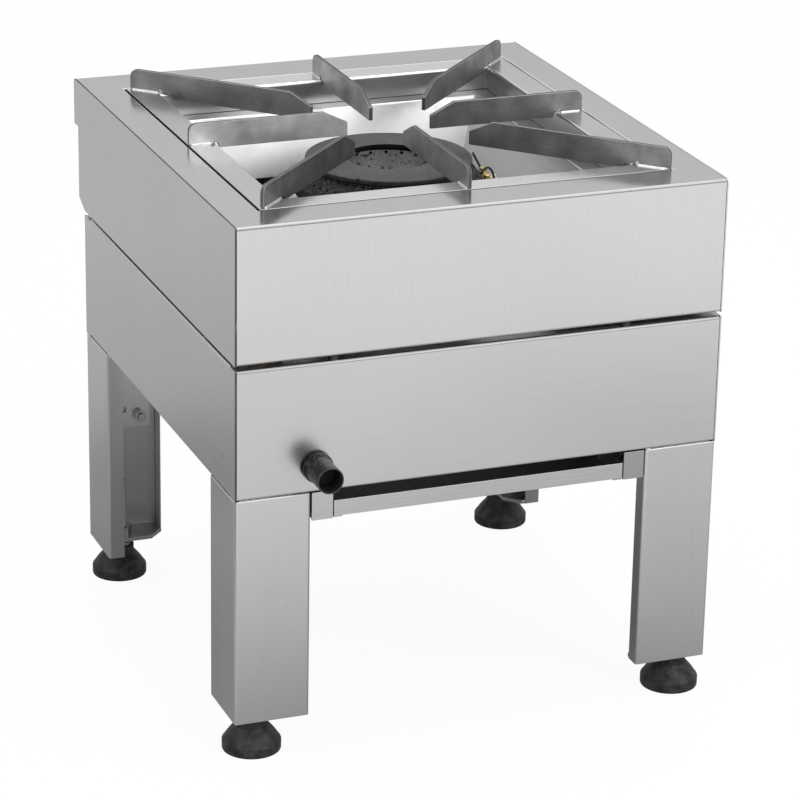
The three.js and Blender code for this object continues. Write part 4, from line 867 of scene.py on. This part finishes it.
def bead_tree():
    """A rod of uneven radius from Start to End, round at both ends."""
    tree, given = geometry_tree("weld_bead", {
        "Start": ("Vector", None), "End": ("Vector", None),
        "Radius": ("Float", BEAD_RADIUS), "Finish": ("Material", None),
    })
    line = add(tree, "GeometryNodeCurvePrimitiveLine", {"Start": given["Start"], "End": given["End"]})
    steps = add(tree, "GeometryNodeResampleCurve", {"Curve": line.outputs[0], "Count": BEAD_STEPS})
    ripple = add(tree, "ShaderNodeTexNoise", {"Scale": RIPPLE_SCALE, "Detail": 1.0}).outputs["Fac"]
    along = add(tree, "GeometryNodeSplineParameter").outputs["Factor"]
    from_middle = maths(tree, "ABSOLUTE", maths(tree, "SUBTRACT", along, 0.5))
    thick = times(tree, remapped(tree, ripple, 0.0, 1.0, *RIPPLE),
                  remapped(tree, from_middle, *END_ROUND))
    circle = {"Resolution": 12, "Radius": given["Radius"]}
    profile = add(tree, "GeometryNodeCurvePrimitiveCircle", circle).outputs[0]
    swept = {"Curve": steps.outputs[0], "Profile Curve": profile, "Scale": thick, "Fill Caps": True}
    rod = add(tree, "GeometryNodeCurveToMesh", swept)
    real = add(tree, "GeometryNodeRealizeInstances", {0: rod.outputs[0]})
    smooth = add(tree, "GeometryNodeSetShadeSmooth", {0: real.outputs[0]})
    return end_tree(tree, smooth.outputs[0], given["Finish"])


beads = bead_tree()
print("bead radius in mm:", round(BEAD_RADIUS / MM, 2))

# %% Weld beads at the bars
BEAD_STOP = 3.0 * MM
BEAD_OUT = BEAD_RADIUS * 0.15  # a bead's middle, out from the plate
BEAD_LIFT = Vector((0, 0, BEAD_RADIUS * 0.35))

weld_pieces = []
for bar in BARS:
    outer, inward, across, reach = bar_line(bar)
    for hand in (-1, 1):
        edge = outer + across * hand * (PLATE / 2 + BEAD_OUT) + BEAD_LIFT
        start = edge + inward * 2 * MM
        end = edge + inward * (reach - BEAD_STOP)
        weld_pieces.append(grown(f"bead_{len(weld_pieces)}", beads, Start=start, End=end,
                                 Radius=BEAD_RADIUS, Finish=weld_steel))
welds = joined(weld_pieces, "support_bar_welds")
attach(welds, "pan_support")
print("weld lines:", len(weld_pieces))

# %% [markdown]
# ## Spill basin
#
# The basin is a steep funnel of thin sheet. Its shape comes from the CAD solid. Its rear wall, which
# faces the camera's side and the light over the deck, is seen much paler than the others, so the
# faces that look to the front are painted pale and less mirror-like, as painted light.

# %% Basin
basin = dressed("spill_basin", basin_steel, 0.25 * MM)
# Painted light on the basin's faces that look to the front.
second_finish(basin, painted_light_wall, lambda centre, normal: normal.y < -0.5 and abs(normal.z) > 0.2)
print("basin faces:", len(basin.data.polygons))

# %% [markdown]
# ## Round pieces
#
# The burner, the knob and the feet are turned or cast round. Stacked cylinders would show steps where
# the real piece has curves, so a spun outline gives them their shape, with as many facets as the eye
# needs. The outline is a list of radius and height.

# %% Spinning an outline
SPIN_TURNS = {
    "x": Matrix.Rotation(radians(90), 4, "Y"),
    "y": Matrix.Rotation(radians(-90), 4, "X"),
    "z": Matrix.Identity(4),
}


def spun(name, outline, centre, axis="z", sides=96):
    """A closed piece from an outline of (radius, height) in mm; points on the axis close it."""
    solid = bmesh.new()
    angles = [2 * pi * k / sides for k in range(sides)]
    rings = []
    for radius, height in outline:
        if radius == 0:
            rings.append([solid.verts.new((0, 0, height * MM))])
            continue
        ring = [(radius * MM * cos(angle), radius * MM * sin(angle), height * MM) for angle in angles]
        rings.append([solid.verts.new(point) for point in ring])
    pairs = list(zip(rings, rings[1:]))
    if len(rings[0]) > 1:
        pairs.append((rings[-1], rings[0]))
    for first, second in pairs:
        for k in range(sides):
            ring = [first[k % len(first)], first[(k + 1) % len(first)],
                    second[(k + 1) % len(second)], second[k % len(second)]]
            corners = list(dict.fromkeys(ring))
            if len(corners) > 2:
                solid.faces.new(corners)
    bmesh.ops.recalc_face_normals(solid, faces=solid.faces)
    place = Matrix.Translation(centre) @ SPIN_TURNS[axis]
    bmesh.ops.transform(solid, matrix=place, verts=solid.verts)
    return object_from(solid, name)


print("axes to spin about:", ", ".join(SPIN_TURNS))

# %% [markdown]
# ## Ring burner
#
# The casting is a ring with a sloping outer wall and an upright inner one, both drilled with rows of
# ports. The ports are real holes: Geometry Nodes stand one drill at each place of a row and take
# them all out of the casting in a single cut.

# %% Drilling tree
DRILL_SIDES = 12


def drill_tree():
    """Takes a ring of drills out of the given casting."""
    tree, given = geometry_tree("drilled_row", {
        "Casting": ("Geometry", None), "Centre": ("Vector", None), "Ports": ("Int", 24),
        "Row radius": ("Float", 50 * MM), "Port radius": ("Float", 1.3 * MM),
        "Depth": ("Float", 14 * MM), "Rise": ("Float", 0.0), "Finish": ("Material", None),
    })
    row = add(tree, "GeometryNodeMeshCircle",
              {"Vertices": given["Ports"], "Radius": given["Row radius"]})
    place = add(tree, "GeometryNodeInputPosition").outputs[0]
    up = add(tree, "ShaderNodeCombineXYZ", {"Z": given["Rise"]}).outputs[0]
    way = vector_maths(tree, "ADD", vector_maths(tree, "NORMALIZE", place), up)
    turn = add(tree, "FunctionNodeAlignRotationToVector", {"Vector": way}, axis="Z")
    drill = add(tree, "GeometryNodeMeshCylinder",
                {"Vertices": DRILL_SIDES, "Radius": given["Port radius"], "Depth": given["Depth"]})
    drills = add(tree, "GeometryNodeInstanceOnPoints",
                 {"Points": row.outputs[0], "Instance": drill.outputs[0], "Rotation": turn.outputs[0]})
    moved = add(tree, "GeometryNodeTransform",
                {"Geometry": drills.outputs[0], "Translation": given["Centre"]})
    real_drills = add(tree, "GeometryNodeRealizeInstances", {0: moved.outputs[0]})
    holes = add(tree, "GeometryNodeMeshBoolean", {0: given["Casting"], 1: real_drills.outputs[0]},
                operation="DIFFERENCE", solver="MANIFOLD")
    real = add(tree, "GeometryNodeRealizeInstances", {0: holes.outputs[0]})
    return end_tree(tree, real.outputs[0], given["Finish"])


drilling = drill_tree()
print("drilling tree's nodes:", len(drilling.nodes))

# %% Burner casting
cap_low, cap_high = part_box("burner_cap")
body_low, body_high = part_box("burner_body")
burner_axis = Vector(((cap_low.x + cap_high.x) / 2, (cap_low.y + cap_high.y) / 2, 0))
# Radii and heights in mm, from here to the feet.
RIM = body_high.z / MM  # top of the casting's walls, under the cap
CONE_TOP = 79
CONE_FOOT = 96.5
CONE_FOOT_Z = 488.5
INNER_WALL = 51
WALL = 5
FLOOR_Z = 460
CHANNEL = 65  # radius at the middle of the gas channel

casting_outline = [
    (CONE_TOP - 0.6, RIM), (CONE_TOP, RIM - 0.5), (CONE_FOOT - 0.7, CONE_FOOT_Z + 0.7),
    (CONE_FOOT, CONE_FOOT_Z - 0.8), (CONE_FOOT, CONE_FOOT_Z - 8), (CONE_FOOT - 1.6, CONE_FOOT_Z - 12),
    (CONE_FOOT - 6, CONE_FOOT_Z - 17), (CHANNEL + 9, FLOOR_Z + 2), (CHANNEL, FLOOR_Z),
    (CHANNEL - 10, FLOOR_Z + 2), (INNER_WALL - 4, FLOOR_Z + 12), (INNER_WALL, FLOOR_Z + 26),
    (INNER_WALL, RIM - 3), (INNER_WALL, RIM - 0.5), (INNER_WALL + 0.6, RIM), (INNER_WALL + WALL, RIM),
    (INNER_WALL + WALL, FLOOR_Z + 22), (CHANNEL - 8, FLOOR_Z + 9), (CHANNEL, FLOOR_Z + 6),
    (CHANNEL + 8, FLOOR_Z + 8), (CONE_FOOT - WALL - 5, CONE_FOOT_Z - 13),
    (CONE_FOOT - WALL, CONE_FOOT_Z - 3), (CONE_TOP - WALL, RIM),
]
casting = spun("burner_casting", casting_outline, burner_axis, sides=144)
print("casting's rim in mm:", round(RIM, 1))

# %% Burner ports
PORT_ROWS = (  # ports, radius of the row, height, port radius, rise of the drill
    (56, 81.8, RIM - 3.0, 1.35, 1.0),
    (54, 89.6, RIM - 11.0, 1.35, 1.0),
    (20, INNER_WALL + 2, RIM - 5.5, 1.6, 0.0),
)
PORT_DEPTH = 12 * MM

for ports, row_radius, height, port_radius, rise in PORT_ROWS:
    centre = burner_axis + Vector((0, 0, height * MM))
    casting = grown("burner_casting", drilling, casting, Centre=centre, Ports=ports,
                    Row_radius=row_radius * MM, Port_radius=port_radius * MM, Depth=PORT_DEPTH,
                    Rise=rise, Finish=body_iron)
print("ports:", sum(row[0] for row in PORT_ROWS), "faces:", len(casting.data.polygons))

# %% Burner mixing tube
TUBE_RADIUS = 18
TUBE_BORE = 14.5
TUBE_Z = 425
TUBE_END = body_low.x / MM
BELL = 22
LUG = 7
LUG_SPREAD = 45
LUG_FOOT = 448.3
LUG_TOP = FLOOR_Z + 4
ELBOW_FOOT = TUBE_Z - TUBE_RADIUS

tube_outline = [
    (BELL, TUBE_END), (BELL, TUBE_END + 2), (TUBE_RADIUS + 1, TUBE_END + 9),
    (TUBE_RADIUS, TUBE_END + 12), (TUBE_RADIUS, -CHANNEL + 2), (TUBE_BORE, -CHANNEL + 2),
    (TUBE_BORE, TUBE_END + 10), (BELL - 3, TUBE_END),
]
tube_place = Vector((0, burner_axis.y, TUBE_Z * MM))
mixing_tube = spun("burner_mixing_tube", tube_outline, tube_place, "x", 64)
elbow_outline = [
    (0, ELBOW_FOOT - 0.5), (TUBE_RADIUS - 3, ELBOW_FOOT - 0.5), (TUBE_RADIUS + 0.5, ELBOW_FOOT + 3),
    (TUBE_RADIUS + 0.5, LUG_TOP), (0, LUG_TOP),
]
elbow_place = burner_axis + Vector((-CHANNEL * MM, 0, 0))
elbow = spun("burner_elbow", elbow_outline, elbow_place, sides=48)
lug_outline = [
    (0, LUG_FOOT), (LUG - 0.8, LUG_FOOT), (LUG, LUG_FOOT + 0.8), (LUG, LUG_TOP), (0, LUG_TOP),
]
lug_pieces = []
for sx in (-1, 1):
    for sy in (-1, 1):
        foot = burner_axis + Vector((sx * LUG_SPREAD * MM, sy * LUG_SPREAD * MM, 0))
        lug_pieces.append(spun(f"burner_lug_{len(lug_pieces)}", lug_outline, foot, sides=32))
print("lugs:", len(lug_pieces))

# %% Burner finishes
BOWL_RADIUS = (INNER_WALL + 1) * MM
# The inner wall is painted black above this height, as painted shade under the cap.
PAINTED_SHADE_FROM = (RIM - 3) * MM

burner = joined([casting, mixing_tube, elbow, *lug_pieces], "burner_casting")
soften(burner, EDGE_WIDTH)
show(burner, body_iron, "burner_body")


def in_bowl(centre, normal):
    """The inner wall's face, which looks at the burner's axis."""
    out = (centre - burner_axis).xy
    return out.length < BOWL_RADIUS and normal.xy.dot(out) < 0


def bowl_rim(centre, normal):
    return (centre - burner_axis).xy.length < BOWL_RADIUS and centre.z > PAINTED_SHADE_FROM


second_finish(burner, bowl_iron, in_bowl)
# Painted shade at the top of the inner wall.
second_finish(burner, painted_shade_black, bowl_rim)
print("burner faces:", len(burner.data.polygons))

# %% [markdown]
# The loose ring cap lies on the casting. It is turned flat on top, with a small notch in its outer
# edge, and its edges are just broken. The notch is cut out with a small rod, as the relief holes of
# the bars are.

# %% Burner cap
CAP_HOLE = 43
CAP_THICKNESS = 5.2
cap_radius = (cap_high.x - cap_low.x) / 2 / MM
cap_top = cap_high.z / MM
cap_foot = cap_top - CAP_THICKNESS
LIP = INNER_WALL + WALL + 0.3
NOTCH_ANGLE = radians(-132)
NOTCH_RADIUS = 2.2
NOTCH_OUT = 0.4

cap_outline = [
    (CAP_HOLE, cap_foot + 1), (CAP_HOLE, cap_top - 1), (CAP_HOLE + 0.3, cap_top - 0.3),
    (CAP_HOLE + 1, cap_top), (cap_radius - 1.4, cap_top), (cap_radius - 0.4, cap_top - 0.4),
    (cap_radius, cap_top - 1.4), (cap_radius, cap_foot + 1), (cap_radius - 1, cap_foot),
    (LIP + 3, cap_foot), (LIP + 3, cap_foot - 4), (LIP, cap_foot - 4), (LIP, cap_foot),
    (CAP_HOLE + 1, cap_foot),
]
cap = spun("burner_ring_cap", cap_outline, burner_axis, sides=160)
notch_way = Vector((cos(NOTCH_ANGLE), sin(NOTCH_ANGLE), 0))
notch_outline = [
    (0, cap_foot - 2), (NOTCH_RADIUS, cap_foot - 2), (NOTCH_RADIUS, cap_top + 2), (0, cap_top + 2),
]
notch_place = burner_axis + notch_way * (cap_radius + NOTCH_OUT) * MM
cut_out(cap, spun("notch_cutter", notch_outline, notch_place, sides=12))
soften(cap, 0.25 * MM)
show(cap, cap_iron, "burner_cap")


def cap_bore(centre, normal):
    return (centre - burner_axis).xy.length < (CAP_HOLE + 1) * MM and normal.z < 0.5


# Painted shade on the cap's side, in the groove under its edge.
second_finish(cap, painted_shade_steel, lambda centre, normal: abs(normal.z) < 0.3)
# Painted shade in the cap's bore.
second_finish(cap, painted_shade_black, cap_bore)
print("cap radius in mm:", round(cap_radius, 1))

# %% [markdown]
# ## Control knob
#
# A hollow knob of matt black plastic, with a flange at the panel and an open end. A tube with a ring
# would do for its bare form, but its rounded lip, its bore and the slope of its flange are what is
# seen of it, so it is spun from an outline and its small edges are rounded.

# %% Knob
knob_low, knob_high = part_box("control_knob")
knob_axis = Vector(((knob_low.x + knob_high.x) / 2, 0, (knob_low.z + knob_high.z) / 2))
KNOB_END = knob_low.y / MM
KNOB_BACK = knob_high.y / MM
KNOB_FLANGE = (knob_high.x - knob_low.x) / 2 / MM
KNOB_BORE = 11.8
KNOB_DEPTH = 20
KNOB_SIDE = 13.2
KNOB_LIP = 0.3 * MM  # thickness of the rubbed end

knob_outline = [
    (0, KNOB_END + KNOB_DEPTH), (KNOB_BORE - 1.4, KNOB_END + KNOB_DEPTH),
    (KNOB_BORE - 0.4, KNOB_END + KNOB_DEPTH - 1.5), (KNOB_BORE, KNOB_END + 0.5),
    (KNOB_BORE + 0.2, KNOB_END), (KNOB_SIDE - 0.4, KNOB_END), (KNOB_SIDE, KNOB_END + 0.5),
    (KNOB_SIDE, KNOB_END + 8), (KNOB_SIDE, KNOB_BACK - 8.5), (KNOB_SIDE + 0.5, KNOB_BACK - 6.8),
    (KNOB_SIDE + 1.2, KNOB_BACK - 4.8), (KNOB_FLANGE - 0.3, KNOB_BACK - 3.2),
    (KNOB_FLANGE, KNOB_BACK - 2.0), (KNOB_FLANGE, KNOB_BACK - 0.4), (KNOB_FLANGE - 0.4, KNOB_BACK),
    (0, KNOB_BACK),
]
knob = spun("control_knob_finished", knob_outline, knob_axis, "y")
soften(knob, 0.2 * MM)
show(knob, black_plastic, "control_knob")


def in_bore(centre, normal):
    radius = hypot(centre.x - knob_axis.x, centre.z - knob_axis.z)
    return radius < (KNOB_BORE + 0.15) * MM and knob_low.y + KNOB_LIP < centre.y < knob_high.y - MM


second_finish(knob, bore_plastic, in_bore)
second_finish(knob, rubbed_plastic, lambda centre, normal: centre.y < knob_low.y + KNOB_LIP)
print("knob length in mm:", round(KNOB_BACK - KNOB_END, 1))

# %% [markdown]
# ## Levelling feet
#
# Each foot is a moulded black pad on a threaded stud. Stacked rings would look like a thread, but the
# real one is a helix, and so is this: its radius follows the turn and the height together.

# %% Threads
THREAD_RADIUS = 8.0
THREAD_PITCH = 2.0
THREAD_DEPTH = 0.9
THREAD_SIDES = 24
RINGS_A_TURN = 6


def threaded(name, centre, foot, top):
    """A rod with a helical thread between two heights, in mm."""
    solid = bmesh.new()
    count = int((top - foot) / THREAD_PITCH * RINGS_A_TURN)
    rings = []
    for i in range(count + 1):
        z = foot + (top - foot) * i / count
        ring = []
        for k in range(THREAD_SIDES):
            phase = (z / THREAD_PITCH - k / THREAD_SIDES) % 1
            radius = THREAD_RADIUS - THREAD_DEPTH * abs(2 * phase - 1)
            angle = 2 * pi * k / THREAD_SIDES
            x = centre.x + radius * MM * cos(angle)
            y = centre.y + radius * MM * sin(angle)
            ring.append(solid.verts.new((x, y, z * MM)))
        rings.append(ring)
    for first, second in zip(rings, rings[1:]):
        for k in range(THREAD_SIDES):
            n = (k + 1) % THREAD_SIDES
            solid.faces.new((first[k], first[n], second[n], second[k]))
    solid.faces.new(rings[0][::-1])
    solid.faces.new(rings[-1])
    return object_from(solid, name)


print("thread pitch in mm:", THREAD_PITCH)

# %% Feet
PAD_EDGE = 9.5
PAD_NECK = 15.7
PAD_NECK_FOOT = 25.2  # where the slope meets the neck
PAD_CROWN = 0.9
DOME_STEPS = 10
DOME_FOOT = PAD_EDGE + 1.2
THREAD_FOOT = 39
HEXAGON_RADIUS = 13.8
HEXAGON_FACE = 12.0
HEXAGON_TOP = 38.2
SHANK = 7.2


def pad_outline(radius, top):
    """The pad's outline: a rim, a crowned slope, and a grooved neck with a hollow."""
    shoulder = radius - 0.9
    outline = [
        (0, 0), (radius - 1.5, 0), (radius - 0.4, 0.4), (radius, 1.5), (radius, PAD_EDGE),
        (radius - 0.3, PAD_EDGE + 0.7),
    ]
    for k in range(DOME_STEPS + 1):
        t = k / DOME_STEPS
        rise = (PAD_NECK_FOOT - PAD_EDGE - 1.2) * t + PAD_CROWN * sin(pi * t)
        outline.append((shoulder - (shoulder - PAD_NECK - 1.2) * t, DOME_FOOT + rise))
    return outline + [
        (PAD_NECK + 1.0, PAD_NECK_FOOT + 0.8), (PAD_NECK, PAD_NECK_FOOT + 1.0),
        (PAD_NECK, PAD_NECK_FOOT + 3.4), (PAD_NECK - 0.5, PAD_NECK_FOOT + 3.7),
        (PAD_NECK - 0.5, PAD_NECK_FOOT + 4.3), (PAD_NECK, PAD_NECK_FOOT + 4.6),
        (PAD_NECK, top - 0.6), (PAD_NECK - 0.6, top), (PAD_NECK - 3, top), (PAD_NECK - 3, top - 10),
        (0, top - 10),
    ]


for corner in CORNERS:
    pad_low, pad_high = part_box(f"foot_pad_{corner}")
    centre = Vector(((pad_low.x + pad_high.x) / 2, (pad_low.y + pad_high.y) / 2, 0))
    pad_radius = (pad_high.x - pad_low.x) / 2 / MM
    pad_top = pad_high.z / MM
    stud_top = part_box(f"foot_stud_{corner}")[1].z / MM
    pad = spun(f"foot_{corner}", pad_outline(pad_radius, pad_top), centre)
    soften(pad, 0.15 * MM)
    show(pad, black_foot, f"foot_pad_{corner}")
    collar_outline = [
        (0, pad_top - 9.7), (PAD_NECK - 3.3, pad_top - 9.7), (PAD_NECK - 3.3, pad_top + 0.6),
        (0, pad_top + 0.6),
    ]
    hexagon_outline = [
        (0, pad_top + 0.3), (HEXAGON_FACE, pad_top + 0.3), (HEXAGON_RADIUS, pad_top + 1.1),
        (HEXAGON_RADIUS, HEXAGON_TOP - 0.9), (HEXAGON_FACE, HEXAGON_TOP), (0, HEXAGON_TOP),
    ]
    neck_outline = [(0, 38), (SHANK, 38), (SHANK, 39.2), (0, 39.2)]
    stud = joined([
        threaded(f"foot_thread_{corner}", centre, THREAD_FOOT, stud_top),
        spun(f"foot_collar_{corner}", collar_outline, centre, sides=48),
        spun(f"foot_hexagon_{corner}", hexagon_outline, centre, sides=6),
        spun(f"foot_neck_{corner}", neck_outline, centre, sides=24),
    ], f"foot_stud_{corner}_finished")
    soften(stud, 0.1 * MM, 1)
    show(stud, zinc_plate, f"foot_stud_{corner}")
print("feet:", len(CORNERS))

# %% [markdown]
# ## Legs and posts
#
# The legs are folded sections, ground from top to bottom, open towards the middle of the range. Each
# is bolted to a post that hangs down from inside the lower housing. The CAD solids have these folds,
# so they are only rounded. The faces that look inwards and the foot plate, which are hardly ground or
# cut, have finishes of their own, and the rounded top edge has a painted highlight.

# %% Legs
LEG_ROUND = 2.2 * MM
LEG_TOP_ROUND = 1.6 * MM
LEG_LIP = 3 * MM
FOOT_PLATE_TOP = 60 * MM
LEG_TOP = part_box("leg_front_left")[1].z


def foot_plate(centre, normal):
    return abs(normal.z) > 0.5 and centre.z < FOOT_PLATE_TOP


for corner in CORNERS:
    inward = Vector((1 if "left" in corner else -1, 1 if "front" in corner else -1, 0))
    leg = dressed(f"leg_{corner}", leg_steel, 0.4 * MM, LEG_ROUND, LEG_TOP_ROUND)
    second_finish(leg, inner_steel, lambda centre, normal: normal.dot(inward) > 0.5)
    # Painted highlight on the leg's rounded top edge.
    second_finish(leg, bright_edge, lambda centre, normal: normal.dot(inward) < 0
                  and centre.z > LEG_TOP - LEG_LIP and 0.1 < normal.z < 0.95)
    second_finish(leg, rolled_plate_steel, foot_plate)
    dressed(f"corner_post_{corner}", leg_steel)
print("legs:", len(CORNERS))

# %% [markdown]
# ## Drip tray and rails
#
# The tray lies on two folded rails under the housing and catches what falls through the burner. Its
# inside carries painted shade and its outside is bright, and the rail on the right is painted darker,
# as painted shade, because less light gets there. The CAD solids are whole, so they only get their
# edges and finishes.

# %% Tray
TRAY_RIM = 5 * MM
tray_low, tray_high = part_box("drip_tray")


def tray_inside(centre, normal):
    within = tray_low.y + TRAY_RIM < centre.y < tray_high.y - TRAY_RIM
    return normal.z > 0.5 or (within and abs(centre.x) < tray_high.x - TRAY_RIM)


tray = dressed("drip_tray", tray_steel)
# Painted shade on the inside of the tray.
second_finish(tray, painted_shade_steel, tray_inside)
dressed("tray_rail_left", rail_steel)
# Painted shade on the right rail.
dressed("tray_rail_right", painted_shade_right_rail)
print("tray in mm:", [round(v) for v in (tray_high - tray_low) / MM])

# %% [markdown]
# ## Gas line, tap and pilot
#
# Hidden behind the panels, but seen from below and through the basin: copper pipes, brass fittings
# and the small pilot group beside the burner. The CAD solids stand upright there. The real sensor is
# thinner and leans over to the flame, and the tip of the spark electrode is short, so the points of
# these two copies are moved, which costs less than new pieces.

# %% Gas line and pilot
SENSOR_TOP = 500.5 * MM  # the sensor leans over to the flame between these heights
SENSOR_FOOT = 470 * MM
SENSOR_LEAN = 0.395
SENSOR_WIDTH = 0.7
ELECTRODE_TOP = 478 * MM  # the electrode is shortened above this
ELECTRODE_SHRINK = 0.9
for node, finish in {
    "burner_bar_front": inner_steel,
    "burner_bar_rear": inner_steel,
    "injector_bracket": inner_steel,
    "pilot_bracket": inner_steel,
    "injector_holder": brass,
    "injector_nozzle": brass,
    "gas_tap_body": brass,
    "tap_plug": brass,
    "gas_inlet": brass,
    "pilot_burner": brass,
    "tap_spindle": zinc_plate,
    "burner_pipe": copper,
    "supply_pipe": copper,
    "pilot_pipe": copper,
    "thermocouple": heated_copper,
    "ignition_electrode": ceramic,
    "ignition_lead": dark_wire,
    "piezo_igniter": black_plastic,
}.items():
    fitting = dressed(node, finish, 0.2 * MM)
    if node == "thermocouple":
        sensor = [vertex for vertex in fitting.data.vertices if vertex.co.z > SENSOR_FOOT]
        axis = sum((vertex.co for vertex in sensor), Vector()) / len(sensor)
        for vertex in sensor:
            lean = max(0, SENSOR_TOP - vertex.co.z) * SENSOR_LEAN
            vertex.co.x = axis.x + (vertex.co.x - axis.x) * SENSOR_WIDTH + lean
            vertex.co.y = axis.y + (vertex.co.y - axis.y) * SENSOR_WIDTH
    if node == "ignition_electrode":
        for vertex in fitting.data.vertices:
            vertex.co.z -= max(0, vertex.co.z - ELECTRODE_TOP) * ELECTRODE_SHRINK
print("gas line dressed")

# %% [markdown]
# The pilot has small parts that the CAD model leaves out: the looped spark wire, the end of the
# thermocouple's lead and the brass nuts that hold them. Each wire is a curve through a few points.

# %% Pilot wires and nuts
WIRES = {  # points in mm
    "spark_wire": ((103.0, 20, 479.6), (105.1, 20, 485.4), (110.2, 20, 488.4), (114.4, 20, 485.2),
                   (117.9, 20, 476.0)),
    "sensor_lead": ((93.0, 20, 493.3), (97.5, 20, 487.5), (102.3, 20, 480.7)),
}
WIRE_RADIUS = 1.1
NUTS = (  # middle, radius, foot and top in mm
    ((106, 23.5), 2.4, 476.0, 484.5),
    ((110.5, 22.5), 3.8, 473.5, 480.5),
    ((114.5, 22), 3.2, 473.2, 478.0),
)
NUT_CHAMFER = 0.4


def wire(name, points):
    """A round wire through the given points, as a mesh."""
    curve = bpy.data.curves.new(name, "CURVE")
    curve.dimensions = "3D"
    curve.bevel_depth = WIRE_RADIUS * MM
    curve.use_fill_caps = True
    spline = curve.splines.new("BEZIER")
    spline.bezier_points.add(len(points) - 1)
    for point, place in zip(spline.bezier_points, points):
        point.co = Vector(place) * MM
        point.handle_left_type = point.handle_right_type = "AUTO"
    line = linked(name, curve)
    mesh = evaluated_mesh(line)
    bpy.data.objects.remove(line)
    return linked(name, mesh)


def added(obj, finish):
    """Gives a small part that the CAD model leaves out its finish, and fixes it to the housing."""
    obj.data.materials.clear()
    obj.data.materials.append(finish)
    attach(obj, "housing")


for name, points in WIRES.items():
    added(wire(name, points), dark_wire)
nuts = []
for (x, y), radius, foot, top in NUTS:
    nut_outline = [
        (0, foot), (radius - NUT_CHAMFER, foot), (radius, foot + NUT_CHAMFER),
        (radius, top - NUT_CHAMFER), (radius - NUT_CHAMFER, top), (0, top),
    ]
    nut_place = Vector((x * MM, y * MM, 0))
    nuts.append(spun(f"pilot_nut_{len(nuts)}", nut_outline, nut_place, sides=6))
nut_group = joined(nuts, "pilot_nuts")
soften(nut_group, 0.15 * MM)
added(nut_group, brass)
print("pilot wires:", len(WIRES), "nuts:", len(NUTS))
